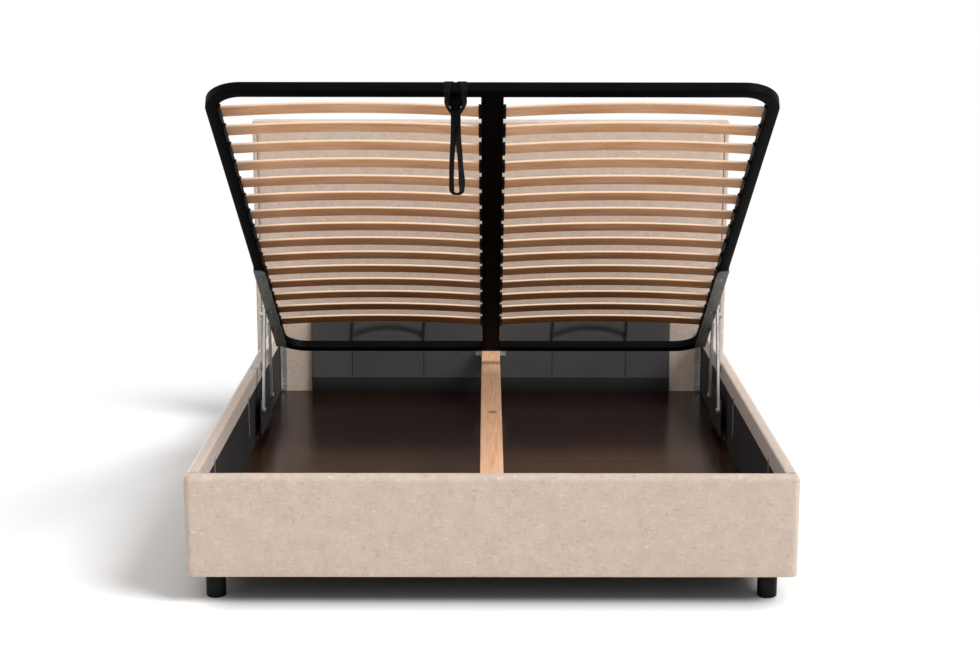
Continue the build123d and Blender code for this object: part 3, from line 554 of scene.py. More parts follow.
def near(value, place):
    """Whether a coordinate is at a place."""
    return abs(value - place) < SAME_PLACE


def edges_where(shape, test):
    """The edges whose two ends both pass a test."""
    return [edge for edge in shape.edges if all(test(corner.co) for corner in edge.verts)]


def edges_at(shape, x=None, y=None, z=None):
    """The edges that lie at the places given, such as a side and a height."""
    places = [(axis, place) for axis, place in enumerate((x, y, z)) if place is not None]
    return edges_where(shape, lambda co: all(near(co[axis], place) for axis, place in places))


def edges_along(shape, axis):
    """The edges that run along one axis: 0 for X, 1 for Y or 2 for Z."""
    others = [other for other in range(3) if other != axis]
    return [edge for edge in shape.edges
            if all(near(edge.verts[0].co[other], edge.verts[1].co[other]) for other in others)]


def round_edges(shape, edges, radius, segments=4):
    """Bevel edges to a round."""
    bmesh.ops.bevel(shape, geom=edges, offset=radius, offset_type="OFFSET", segments=segments,
                    profile=0.5, affect="EDGES", clamp_overlap=True, material=-1)


def pull_out(shape, faces, way):
    """Extrude faces and move what comes out."""
    pulled = bmesh.ops.extrude_face_region(shape, geom=faces)["geom"]
    corners = [item for item in pulled if isinstance(item, bmesh.types.BMVert)]
    bmesh.ops.translate(shape, vec=way, verts=corners)


def cut_at(shape, place, direction):
    """Cut through a whole shape on a plane, and keep both sides."""
    bmesh.ops.bisect_plane(shape, geom=shape.verts[:] + shape.edges[:] + shape.faces[:],
                           plane_co=direction * place, plane_no=direction, dist=CUT_REACH)


def slice_across(shape, direction, low, high, count):
    """Cut a shape into equal bands between two places, so that it can bend."""
    for cut in range(1, count):
        cut_at(shape, low + (high - low) * cut / count, direction)


def ripple(place, size, depth, seed):
    """A gentle rise and fall, up to depth either way, whose waves are about size metres long."""
    return depth * noise.noise(Vector(place) / size + Vector((seed, 0, 0)))


print("tools ready")

# %% [markdown]
# ## Padded rails
# The foot panel and the two side rails are boards in a thin layer of foam with the fabric pulled over
# it. A box alone would look like painted wood, so the block gets round edges where foam lies over the
# board's corners, a slight crown on its face, and shallow waves as pulled fabric has. On the inside
# the fabric ends in a flap, and below the flap the block steps back by the lining's thickness. The
# foot panel's top dips by 3 mm, and its ends stand out as far as the side rails' padding does.

# %% Measure the rails on the CAD model
rail_low, rail_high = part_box("foot_cover")
side_low, side_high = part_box("left_rail_cover")
rail_thickness = rail_high.y - rail_low.y
flap_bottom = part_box("foot_lining")[1].z
lining_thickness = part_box("foot_lining")[1].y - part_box("foot_lining")[0].y
rail_crown = 0.002
rail_puff = 0.005
print("rails are", round(rail_thickness * 1000), "mm thick")
print("the flap ends at", round(flap_bottom * 1000), "mm")

# %% Make the padded rails
foot_round = 0.018
side_round = 0.016
inner_round = 0.007
lower_round = 0.004
end_puff_power = 21
dip_start = 0.23
dip_depth = 0.003


def pull_fabric(shape, outward, face_place, seed):
    """Puff out a padded face, crown it and give it the shallow waves of pulled fabric."""
    middle = (rail_low.z + rail_high.z) / 2
    half = (rail_high.z - rail_low.z) / 2
    for corner in shape.verts:
        depth = face_place - corner.co.dot(outward)
        share = max(0.0, 1 - depth / rail_thickness)
        lean = rail_crown * ((corner.co.z - middle) / half) ** 2
        wave = (ripple(corner.co, size=0.16, depth=0.0006, seed=seed)
                + ripple(corner.co, size=0.05, depth=0.0004, seed=seed + 5))
        puff = rail_puff * abs(outward.x)
        corner.co += outward * share * (puff + wave - lean)
        lift = ripple(corner.co, size=0.12, depth=0.0006, seed=seed + 9)
        corner.co.z += lift * (corner.co.z - rail_low.z) / half / 2


def step_under_flap(shape, inward):
    """Push the inner face back below the flap, to make room for the lining."""
    cut_at(shape, flap_bottom, UP)
    shape.normal_update()
    below = [face for face in shape.faces if face.normal.dot(inward) > SAME_WAY
             and face.calc_center_median().z < flap_bottom]
    pull_out(shape, below, -inward * lining_thickness)
    bmesh.ops.delete(shape, geom=below, context="FACES")


shape = slab(rail_low, rail_high)
bottom_edge = edges_at(shape, y=rail_low.y, z=rail_low.z)
soft_edges = [edge for edge in edges_at(shape, y=rail_low.y) if edge not in bottom_edge]
for side in (-1, 1):
    soft_edges += edges_at(shape, x=side * rail_high.x, z=rail_high.z)
round_edges(shape, soft_edges, foot_round, segments=7)
round_edges(shape, edges_at(shape, y=rail_high.y, z=rail_high.z), inner_round)
round_edges(shape, edges_at(shape, y=rail_low.y, z=rail_low.z), lower_round, 3)
slice_across(shape, ACROSS, rail_low.x, rail_high.x, 56)
slice_across(shape, UP, rail_low.z, rail_high.z, 14)
step_under_flap(shape, ALONG)
pull_fabric(shape, -ALONG, -rail_low.y, seed=1)
for corner in shape.verts:
    dip = max(0.0, (corner.co.z - dip_start) / (rail_high.z - dip_start))
    corner.co.x += rail_puff * (corner.co.x / rail_high.x) ** end_puff_power
    corner.co.z -= dip_depth * dip ** 4
foot_panel = finish_piece("foot_panel", shape, "root", upholstery, ["foot_cover"])

for side, name in ((-1, "left"), (1, "right")):
    outer = side * rail_high.x
    inner = side * (rail_high.x - rail_thickness)
    shape = slab((outer, side_low.y, rail_low.z), (inner, side_high.y, rail_high.z))
    round_edges(shape, edges_at(shape, x=outer, z=rail_high.z), side_round, 6)
    round_edges(shape, edges_at(shape, x=inner, z=rail_high.z), inner_round)
    round_edges(shape, edges_at(shape, x=outer, z=rail_low.z), lower_round, 3)
    slice_across(shape, ALONG, side_low.y, side_high.y, 64)
    slice_across(shape, UP, rail_low.z, rail_high.z, 14)
    step_under_flap(shape, -side * ACROSS)
    pull_fabric(shape, side * ACROSS, side * outer, seed=3 + side)
    rail = finish_piece(name + "_side_rail", shape, "root", upholstery, [name + "_rail_cover"])

# %% [markdown]
# ## Headboard
# The headboard is a panel with a foam cushion on its front and a narrow padded strip round its sides
# and top. The cushion's edge rolls over into the seam where it meets the strip, and that groove is
# the dark line that runs just inside the headboard's outline. The cushion is a block with a large
# round at its front edges and a crown over its middle, which starts above the box's head lining.

# %% Make the headboard's front cushion
cushion_low, cushion_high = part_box("headboard_cushion")
headboard_face = side_high.y
lining_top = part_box("head_lining")[1].z
cushion_crown = headboard_face - cushion_low.y
cushion_round = 0.014
crown_depth = 0.02
crown_margin = 0.02

shape = slab((cushion_low.x, headboard_face, cushion_low.z), cushion_high)
cushion_edges = edges_at(shape, y=headboard_face, z=cushion_high.z)
for side in (-1, 1):
    cushion_edges += edges_at(shape, x=side * cushion_high.x, y=headboard_face)
round_edges(shape, cushion_edges, cushion_round, segments=6)
slice_across(shape, ACROSS, cushion_low.x, cushion_high.x, 52)
slice_across(shape, UP, cushion_low.z, cushion_high.z, 34)
for corner in shape.verts:
    share = max(0.0, 1 - (corner.co.y - headboard_face) / crown_depth)
    across = max(0.0, 1 - (abs(corner.co.x) / cushion_high.x) ** 6)
    up = (corner.co.z - lining_top) / (cushion_high.z - crown_margin - lining_top)
    upward = max(0.0, 1 - (2 * min(max(up, 0.0), 1.0) - 1) ** 4)
    wave = (ripple(corner.co, size=0.2, depth=0.0007, seed=20)
            + ripple(corner.co, size=0.06, depth=0.0004, seed=23))
    corner.co.y -= share * (cushion_crown * across * upward + wave * upward)
cushion = finish_piece("headboard_front_cushion", shape, "root", upholstery, ["headboard_cushion"])

# %% Make the headboard's border strip
border_low, border_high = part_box("headboard_border")
border_round = 0.006
border_middle = 0.6
shape = bmesh.new()
outline = [(border_low.x, border_low.z), (border_low.x, border_high.z), (border_high.x, border_high.z),
           (border_high.x, border_low.z), (cushion_high.x, border_low.z), (cushion_high.x, cushion_high.z),
           (cushion_low.x, cushion_high.z), (cushion_low.x, border_low.z)]
strip_face = shape.faces.new([shape.verts.new((x, border_low.y, z)) for x, z in outline])
pull_out(shape, [strip_face], ALONG * (border_high.y - border_low.y))


def on_outside(co):
    """Whether a corner is on the strip's outer side."""
    return near(abs(co.x), border_high.x) or near(co.z, border_high.z)


foot_edges = edges_at(shape, z=border_low.z)
outer_edges = [edge for edge in edges_where(shape, on_outside) if edge not in foot_edges]
round_edges(shape, outer_edges, border_round)
slice_across(shape, ACROSS, border_low.x, border_high.x, 40)
slice_across(shape, UP, border_low.z, border_high.z, 26)
for corner in shape.verts:
    outward = Vector((corner.co.x, 0, corner.co.z - border_middle)).normalized()
    corner.co += outward * ripple(corner.co, size=0.09, depth=0.0005, seed=31)
strip = finish_piece("headboard_border_strip", shape, "root", upholstery, ["headboard_border"])

# %% [markdown]
# ## Linings
# Thin cloth is stapled over the boards inside the box, over a flat panel at its head end, and over
# the headboard's back. Each is a flat sheet with a few shallow waves. A sheet could be one layer of
# faces, but two layers close together keep light from leaking through it from behind.

# %% Make the linings of the box
cloth_thickness = 0.0012
largest_cell = 0.045
fold_in = 0.0005
off_board = 0.0008
off_panel = 0.0004
foot_margin = 0.02
back_margin = 0.004


def stretched_cloth(name, one, other, outward, material, stands_for, seed):
    """A flat cloth with shallow waves, as wide as the solid that it stands for."""
    shape = slab(one, other)
    size = [abs(end - start) for start, end in zip(one, other)]
    for axis, direction in enumerate((ACROSS, ALONG, UP)):
        if size[axis] > largest_cell:
            low, high = sorted((one[axis], other[axis]))
            slice_across(shape, direction, low, high, max(2, round(size[axis] / largest_cell)))
    for corner in shape.verts:
        corner.co += outward * ripple(corner.co, size=0.13, depth=0.0006, seed=seed)
    cloth = finish_piece(name, shape, "root", material, [stands_for])


for side, name in ((-1, "left"), (1, "right")):
    low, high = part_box(name + "_lining")
    inside = (high.x if side < 0 else low.x) + side * off_board
    stretched_cloth(name + "_side_lining", (inside, low.y, low.z),
                    (inside + side * cloth_thickness, high.y, high.z - fold_in), -side * ACROSS, box_lining,
                    name + "_lining", 40 + side)
low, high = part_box("foot_lining")
outside = high.y - off_board
stretched_cloth("foot_end_lining", (low.x + foot_margin, outside - cloth_thickness, low.z),
                (high.x - foot_margin, outside, high.z - fold_in), ALONG, box_lining,
                "foot_lining", 44)
low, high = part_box("headboard_back_cloth")
outside = high.y - off_panel
stretched_cloth("headboard_back_sheet",
                (low.x + back_margin, outside - cloth_thickness, low.z + back_margin / 2),
                (high.x - back_margin, outside, high.z - back_margin), ALONG, back_cloth,
                "headboard_back_cloth", 47)

# %% [markdown]
# ## Head lining
# The box's head end is a flat panel wrapped in the lining cloth, narrower than the box, so a strip of
# the headboard shows on each side. Two pairs of upright seams run down it: above the arches a thick
# black cord lies in each, and below them only a fine bead. Between each pair a low arched seam draws
# the cloth in, so the panel's face is cut fine enough to dip along it. Along its foot lies a darker
# skirting band.

# %% Make the head lining panel
head_low, head_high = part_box("head_lining")
head_face = head_low.y
arch_height = 0.386
arch_rise = 0.03
groove_half = 0.011
groove_depth = 0.003
seam_pairs = ((-0.545, -0.263), (0.243, 0.533))
panel_round = 0.003
face_reach = 0.001
shape = slab(head_low, head_high)
round_edges(shape, edges_at(shape, y=head_face), panel_round, 3)
slice_across(shape, ACROSS, head_low.x, head_high.x, 110)
slice_across(shape, UP, head_low.z, head_high.z, 44)
seam_shade_layer = shape.verts.layers.float.new("seam")
for corner in shape.verts:
    if corner.co.y > head_face + face_reach:
        continue
    corner.co.y -= ripple(corner.co, size=0.12, depth=0.0008, seed=52)
    for left_seam, right_seam in seam_pairs:
        off = (2 * corner.co.x - left_seam - right_seam) / (right_seam - left_seam)
        if abs(off) <= 1:
            from_arch = (corner.co.z - arch_height + arch_rise * off ** 2) / groove_half
            # Painted shade: this layer marks the groove, where the cloth's colour is darkened.
            corner[seam_shade_layer] = math.exp(-from_arch ** 2)
            corner.co.y += groove_depth * math.exp(-from_arch ** 2)
head_panel = finish_piece("head_lining_panel", shape, "root", head_cloth, ["head_lining"])


# %% Make the cords and beads on the head lining
def seam_tube(shape, points, radius, sides=8):
    """A round bead along a line of points: a ring is pulled from point to point."""
    ring = None
    for number, point in enumerate(points):
        ahead = Vector(points[min(number + 1, len(points) - 1)]) - Vector(points[max(number - 1, 0)])
        turn = ahead.to_track_quat("Z", "Y").to_matrix().to_4x4()
        placed = Matrix.Translation(point) @ turn
        made = bmesh.ops.create_circle(shape, segments=sides, radius=radius, cap_ends=False, matrix=placed)
        fresh = set(made["verts"])
        edges = [edge for edge in shape.edges if edge.verts[0] in fresh and edge.verts[1] in fresh]
        if ring:
            bmesh.ops.bridge_loops(shape, edges=ring + edges)
        else:
            bmesh.ops.contextual_create(shape, geom=edges)
        ring = edges
    bmesh.ops.contextual_create(shape, geom=ring)


cord_radius = 0.0046
bead_radius = 0.0011
skirting_height = 0.058
skirting_thickness = 0.003
skirting_round = 0.001
shape = bmesh.new()
for pair in seam_pairs:
    for x in pair:
        bead = [(x, head_face, head_low.z + 0.06), (x, head_face, 0.2), (x, head_face, 0.34)]
        cord = [(x - 0.003, head_face, 0.337), (x - 0.001, head_face - 0.001, 0.37),
                (x + 0.002, head_face, head_high.z - 0.004)]
        seam_tube(shape, bead, bead_radius)
        seam_tube(shape, cord, cord_radius)
finish_piece("head_lining_piping", shape, "root", back_cloth)

skirting_face = head_face - skirting_thickness
shape = slab((head_low.x, skirting_face, head_low.z), (head_high.x, head_face, head_low.z + skirting_height))
round_edges(shape, edges_at(shape, y=skirting_face), skirting_round, 2)
slice_across(shape, ACROSS, head_low.x, head_high.x, 30)
finish_piece("head_lining_skirting", shape, "root", back_cloth)

# %% [markdown]
# ## Perforated corner angles
# At the head end an angle of punched sheet steel stands in each corner of the box, screwed to the
# headboard and the rail. Its holes could be cut out of a plain strip, but it is cleaner to build the
# strip from cells with a hole each: a ring of corners on the circle, a matching ring on the cell's
# outline, and faces between them. The cells weld into a strip, and solidify gives it 2 mm.

# %% Make the perforated corner angles
flange_width = 0.022
flange_inset = 0.0024
steel_thickness = 0.002
hole_radius = 0.0058
holes = 12


def punched_strip(shape, corner, across, width, pitch, count, radius, steps=16):
    """A strip of square cells with a round hole in each, from a bottom corner upwards."""
    for cell in range(count):
        middle = corner + across * width / 2 + UP * pitch * (cell + 0.5)
        hole = []
        outline = []
        for step in range(steps):
            sideways = math.cos(2 * math.pi * step / steps)
            upward = math.sin(2 * math.pi * step / steps)
            reach = max(abs(sideways), abs(upward))
            hole.append(shape.verts.new(middle + (across * sideways + UP * upward) * radius))
            outline.append(shape.verts.new(middle + across * sideways / reach * width / 2
                                           + UP * upward / reach * pitch / 2))
        for step in range(steps):
            after = (step + 1) % steps
            shape.faces.new((hole[step], hole[after], outline[after], outline[step]))


low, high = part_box("head_angles")
shape = bmesh.new()
for side in (-1, 1):
    corner = Vector((side * (high.x - flange_inset), high.y - flange_inset, low.z))
    for across in (-side * ACROSS, -ALONG):
        punched_strip(shape, corner, across, flange_width, (high.z - low.z) / holes, holes, hole_radius)
seal(shape)
bmesh.ops.solidify(shape, geom=shape.faces[:], thickness=steel_thickness)
finish_piece("perforated_corner_angles", shape, "root", zinc_steel, ["head_angles"])

# %% [markdown]
# ## Legs
# The bed stands on round black plastic legs, 57 mm across. A leg is a lathe shape, so its half
# outline is spun round its own axis: a small chamfer at the floor, a straight side with a fine groove
# near its top, and a threaded stud that goes up into the corner block.

# %% Make the legs
leg_radius = 0.0285
leg_height = rail_low.z
foot_chamfer = 0.003
groove_radius = 0.0278
groove_low = 0.0775
groove_high = 0.0815
groove_slope = 0.001
stud_radius = 0.004
stud_height = 0.030
stud_chamfer = 0.001
leg_outline = [(0, 0.0), (leg_radius - foot_chamfer, 0.0), (leg_radius, foot_chamfer),
               (leg_radius, groove_low), (groove_radius, groove_low + groove_slope),
               (groove_radius, groove_high - groove_slope), (leg_radius, groove_high),
               (leg_radius, leg_height), (stud_radius, leg_height),
               (stud_radius, leg_height + stud_height - stud_chamfer),
               (stud_radius - stud_chamfer, leg_height + stud_height), (0, leg_height + stud_height)]


def lathe(shape, outline, centre, steps=40):
    """Spin a half outline of (radius, height) pairs round an upright axis."""
    line = [shape.verts.new((centre[0] + radius, centre[1], height)) for radius, height in outline]
    edges = [shape.edges.new(pair) for pair in zip(line, line[1:])]
    bmesh.ops.spin(shape, geom=line + edges, cent=(centre[0], centre[1], 0), axis=UP,
                   angle=2 * math.pi, steps=steps, use_merge=True)


for node_name, piece_name in (("front_legs", "front_leg_pair"), ("rear_legs", "rear_leg_pair")):
    low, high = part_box(node_name)
    shape = bmesh.new()
    for x in (low.x + leg_radius, high.x - leg_radius):
        lathe(shape, leg_outline, (x, (low.y + high.y) / 2))
    finish_piece(piece_name, shape, "root", black_plastic, [node_name])

# %% [markdown]
# ## The raised frame's own directions
# The slatted base is turned about X, so its pieces are easier to make flat and then turn into place.
# One matrix does that: in the flat place, X is across, Y runs along the base from its foot end, and Z
# is the depth above the frame's underside.

# %% Work out the matrix of the raised base
base_tilt = math.radians(33)
base_length = 1.990
head_edge = Vector((0, 0.647, 0.368))
along_base = Vector((0, math.cos(base_tilt), -math.sin(base_tilt)))
up_from_base = Vector((0, math.sin(base_tilt), math.cos(base_tilt)))
foot_edge = head_edge - along_base * base_length
raised = Matrix((
    (1, 0, 0, foot_edge.x),
    (0, along_base.y, up_from_base.y, foot_edge.y),
    (0, along_base.z, up_from_base.z, foot_edge.z),
    (0, 0, 0, 1),
))


def raise_up(shape):
    """Turn a shape from the flat place to the raised one."""
    bmesh.ops.transform(shape, matrix=raised, verts=shape.verts)


print("foot end of the frame is at", [round(value, 4) for value in foot_edge])

# %% [markdown]
# ## Lift frame
# The frame is one steel tube of 35 by 30 mm, bent round at the four corners and closed in a ring.
# A rectangle with its corners rounded, inset by the tube's width, leaves the ring, and one extrusion
# gives its depth. Bevelled edges make the highlights that real tube has.

# %% Make the frame's tube and its spine
base_half = 0.795
tube_width = 0.035
tube_depth = 0.030
tube_round = 0.003
corner_round = 0.110
spine_half = 0.031
shape = bmesh.new()
corners = [shape.verts.new((x, y, 0)) for x, y in ((-base_half, 0), (base_half, 0),
                                                 (base_half, base_length), (-base_half, base_length))]
shape.faces.new(corners)
bmesh.ops.bevel(shape, geom=shape.verts[:], offset=corner_round, offset_type="OFFSET", segments=18,
                profile=0.5, affect="VERTICES", material=-1)
ring = bmesh.ops.inset_region(shape, faces=shape.faces[:], thickness=tube_width, use_even_offset=True,
                              use_boundary=True)["faces"]
bmesh.ops.delete(shape, geom=[face for face in shape.faces if face not in ring], context="FACES")
pull_out(shape, shape.faces[:], UP * tube_depth)
bmesh.ops.recalc_face_normals(shape, faces=shape.faces)
round_edges(shape, [edge for edge in shape.edges if edge.calc_face_angle(0.0) > SQUARE_EDGE], tube_round, 3)
raise_up(shape)
finish_piece("lift_frame_tube", shape, "platform", black_steel, ["lift_frame"])

shape = slab((-spine_half, tube_width, 0), (spine_half, base_length - tube_width, tube_depth))
round_edges(shape, edges_along(shape, 1), tube_round, 3)
raise_up(shape)
finish_piece("lift_frame_spine", shape, "platform", black_steel, ["frame_spine"])

# %% [markdown]
# ## Slats
# Each row has two slats of bent plywood, 53 mm wide and 8 mm thick, which rise 13 mm in their middle.
# A flat strip is rounded at its long edges and cut into short bands, its flat place is stored for the
# grain, and then every point is lifted onto the arc.

# %% Make the fifteen rows of slats
slat_width = 0.053
slat_thickness = 0.008
slat_bow = 0.013
slat_start = 0.0343
slat_end = 0.7567
slat_base = 0.004
slat_round = 0.0028
edge_reach = 0.0022
first_slat = 0.1295
last_slat_setback = 0.260
last_slat = base_length - last_slat_setback - slat_width / 2
slat_rows = 15
slat_pitch = (last_slat - first_slat) / (slat_rows - 1)
bow_radius = ((slat_end - slat_start) ** 2 / 4 + slat_bow ** 2) / (2 * slat_bow)


def bend_slat(shape, side):
    """Lift each point of a flat strip onto the slat's arc."""
    middle = side * (slat_start + slat_end) / 2
    flat = shape.verts.layers.float_vector["flat"]
    for corner in shape.verts:
        corner[flat] = corner.co
        across = corner.co.x - middle
        corner.co.z += math.sqrt(bow_radius ** 2 - across ** 2) - bow_radius + slat_bow


for row in range(slat_rows):
    centre = first_slat + slat_pitch * row
    shape = bmesh.new()
    shape.verts.layers.float_vector.new("flat")
    shape.verts.layers.float.new("edge")
    for side in (-1, 1):
        start = side * slat_start
        end = side * slat_end
        slat = slab((start, centre - slat_width / 2, slat_base),
                    (end, centre + slat_width / 2, slat_base + slat_thickness))
        slat.verts.layers.float_vector.new("flat")
        edge_layer = slat.verts.layers.float.new("edge")
        round_edges(slat, edges_along(slat, 0), slat_round, 3)
        for corner in slat.verts:
            inset = slat_width / 2 - abs(corner.co.y - centre)
            corner[edge_layer] = min(1.0, max(0.0, 1 - inset / edge_reach))
        slice_across(slat, ACROSS, min(start, end), max(start, end), 24)
        bend_slat(slat, side)
        raise_up(slat)
        join_into(shape, slat)
    name = "slat_row_%02d" % (row + 1)
    finish_piece(name + "_pair", shape, "platform", birch, [name])

# %% [markdown]
# ## Slat holders
# Each slat end sits in a small black plastic holder that is pushed onto the frame. A holder is a
# rounded block; the face that looks at the slat is inset and pushed in, which makes the pocket.

# %% Make the slat holders
cap_width = 0.061
cap_height = 0.015
cap_base = 0.0007
cap_wall = 0.0028
cap_round = 0.0012
cap_reach = 0.008
pocket_share = 0.8
tube_inside = base_half - tube_width


def slat_holder(shape, from_x, to_x, centre):
    """A holder between two places across the base. The slat comes in at to_x."""
    block = slab((from_x, centre - cap_width / 2, cap_base),
                 (to_x, centre + cap_width / 2, cap_base + cap_height))
    mouth = [face for face in block.faces if near(face.calc_center_median().x, to_x)]
    bmesh.ops.inset_region(block, faces=mouth, thickness=cap_wall, use_even_offset=True)
    bmesh.ops.translate(block, vec=ACROSS * (from_x - to_x) * pocket_share,
                        verts=[corner for face in mouth for corner in face.verts])
    pocket_end = to_x + (from_x - to_x) * pocket_share
    outside = [edge for edge in block.edges if edge.calc_face_angle(0.0) > SQUARE_EDGE and edge.is_convex
               and not near(edge.verts[0].co.x, pocket_end)]
    round_edges(block, outside, cap_round, 2)
    join_into(shape, block)


for node_name, piece_name, from_place, to_place in (
        ("outer_slat_caps", "outer_slat_holders", tube_inside, tube_inside - cap_reach),
        ("centre_slat_caps", "centre_slat_holders", spine_half, spine_half + cap_reach)):
    shape = bmesh.new()
    for side in (-1, 1):
        for row in range(slat_rows):
            slat_holder(shape, side * from_place, side * to_place, first_slat + slat_pitch * row)
    raise_up(shape)
    finish_piece(piece_name, shape, "platform", black_plastic, [node_name])

# %% [markdown]
# ## Pull strap
# The strap is a loop of webbing, hitched round the frame's foot bar: two lobes lie over the bar, come
# together in front of it, and the rest hangs down from behind them as a long loop. A band is made by
# pulling one edge from station to station along a smooth path. At each station the edge is turned, so
# the band can twist, and where it gathers in the neck the edge is shorter. Solidify gives its 2 mm.

# %% Make a band of webbing
strap_width = 0.030
strap_thickness = 0.002


def smooth_value(before, start, end, after, t):
    """A point or direction between start and end, on a smooth curve through all four."""
    return 0.5 * (2 * start + (end - before) * t + (2 * before - 5 * start + 4 * end - after) * t ** 2
                  + (3 * start - before - 3 * end + after) * t ** 3)


def webbing_band(shape, stations, steps=6):
    """Pull one edge along the stations. Each is a centre and the direction across the band."""
    band_layer = shape.verts.layers.float_vector.get("band") or shape.verts.layers.float_vector.new("band")
    stops = [(Vector(centre), Vector(across)) for centre, across in stations]
    path = []
    for number in range(len(stops) - 1):
        around = [stops[max(number - 1, 0)], stops[number], stops[number + 1],
                  stops[min(number + 2, len(stops) - 1)]]
        for step in range(steps):
            centre = smooth_value(*[stop[0] for stop in around], step / steps)
            across = smooth_value(*[stop[1] for stop in around], step / steps)
            path.append((centre, across))
    path.append(stops[-1])
    travelled = 0.0
    edge = None
    for number, (centre, across) in enumerate(path):
        if number:
            travelled += (centre - path[number - 1][0]).length
            pulled = bmesh.ops.extrude_edge_only(shape, edges=edge)["geom"]
            edge = [item for item in pulled if isinstance(item, bmesh.types.BMEdge)]
            ends = [item for item in pulled if isinstance(item, bmesh.types.BMVert)]
            old_left = left
            left = [corner for corner in ends if corner.link_edges and any(
                other.other_vert(corner) == old_left for other in corner.link_edges)][0]
            right = [corner for corner in ends if corner != left][0]
        else:
            left = shape.verts.new(centre)
            right = shape.verts.new(centre)
            edge = [shape.edges.new((left, right))]
        left.co = centre - across * strap_width / 2
        right.co = centre + across * strap_width / 2
        left[band_layer] = (travelled, 0, 0)
        right[band_layer] = (travelled, strap_width, 0)


print("band tool ready")

# %% Make the strap's hitch round the bar
strap_x = -0.1005
strap_y = -0.9935
layer_gap = 0.0012
strap_stand = 0.0022
solid_share = 0.8


def beside_bar(along, depth):
    """A point near the foot bar, in the raised frame's directions."""
    return foot_edge + along_base * along + up_from_base * depth


def lobe_stations(side):
    """The path of one lobe: from the neck up the bar's front, over it, and down behind it."""
    stand = strap_stand
    stations = [((strap_x, -1.0035, 1.3885), (0.05, 0, -side * 0.5))]
    for out, y, z, across in (
            (0.0100, -1.0050, 1.3925, (0.12, side * 0.3, -side * 0.4)),
            (0.0195, -1.0085, 1.4035, (0.2, side * 0.6, -side * 0.2)),
            (0.0255, -1.0130, 1.4185, (0.34, side * 0.8, -side * 0.05)),
            (0.0240, -1.0190, 1.4360, (0.45, side * 0.6, 0))):
        stations.append(((strap_x + side * out, y, z), across))
    for along, depth, out, share in (
            (-stand * 0.2, -stand * 1.4, 0.0235, 0.6), (-stand, 0.006, 0.0235, 0.62),
            (-stand, 0.024, 0.0215, 0.7), (0.003, 0.0315 + stand * 0.6, 0.018, 0.78),
            (0.012, tube_depth + stand, 0.0165, 0.82), (0.026, tube_depth + stand, 0.0165, 0.9),
            (0.0355, 0.0315, 0.0165, 0.95), (tube_width + stand, 0.02, 0.0165, 1.0),
            (tube_width + stand, 0.007, 0.0165, 1.0)):
        point = beside_bar(along, depth)
        stations.append(((strap_x + side * out, point.y, point.z), ACROSS * share))
    stations.append(((strap_x + side * 0.010, -0.9905, 1.4235), ACROSS))
    stations.append(((strap_x + side * 0.002, strap_y + side * layer_gap, 1.409), ACROSS))
    return stations


shape = bmesh.new()
for side in (-1, 1):
    webbing_band(shape, lobe_stations(side))
seal(shape)
bmesh.ops.solidify(shape, geom=shape.faces[:], thickness=strap_thickness * solid_share)
hitch = finish_piece("strap_hitch_lobes", shape, None, webbing, ["strap_hitch"])
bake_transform(hitch)

# %% Make the strap's hanging loop
loop_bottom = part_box("pull_strap")[0].z - 0.005


def strand_stations(side):
    """One side of the loop, from under the bar to the middle of the loop's bottom."""
    stations = []
    for shift, out, back, z, across in (
            (0, 0, layer_gap, 1.4300, (0.9, 0, 0)),
            (0, 0, layer_gap, 1.3900, (0.9, 0, 0)),
            (0, 0.0025, 0.0010, 1.3500, (0.76, 0.5, 0)),
            (0, 0.0070, 0.0005, 1.3200, (0.52, 0.78, 0)),
            (0.0006, 0.0110, 0, 1.2800, (0.44, 0.85, 0)),
            (0.0012, 0.0134, 0, 1.2400, (0.42, 0.87, 0)),
            (0.0022, 0.0148, 0, 1.2060, (0.48 + side * 0.06, 0.84, 0)),
            (0.0026, 0.0148, 0, loop_bottom + 0.0200, (0.44, 0.86, -0.12)),
            (0.0026, 0.0135, 0, loop_bottom + 0.0115, (0.34, 0.88, -0.22)),
            (0.0026, 0.0085, 0, loop_bottom + 0.0065, (0.2, 0.92, -0.28)),
            (0.0026, 0, 0, loop_bottom + 0.0050, (0, 0.95, -0.28))):
        centre = (strap_x + shift + side * out, strap_y + side * back, z)
        stations.append((centre, (across[0], side * across[1], side * across[2])))
    return stations


right_side = strand_stations(1)
loop = strand_stations(-1) + [(centre, -Vector(across)) for centre, across in reversed(right_side[:-1])]
shape = bmesh.new()
webbing_band(shape, loop)
bmesh.ops.recalc_face_normals(shape, faces=shape.faces)
bmesh.ops.solidify(shape, geom=shape.faces[:], thickness=strap_thickness * solid_share)
tail = finish_piece("strap_hanging_loop", shape, "strap", webbing, ["pull_strap"])
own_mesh(tail)

# %% [markdown]
# ## Floor, light and camera
# The studio floor is a wide pale sheet. Far from the bed it shows white to the camera, and near the
# bed it is plain white floor, so that it keeps the bed's shadow. Right under the bed it is greyer,
# because the photo's shadow is deeper there than this light makes it. A soft white sky lights
# everything, one broad lamp from the upper right gives the shapes their shading, and a weak panel
# overhead brings some light into the box.

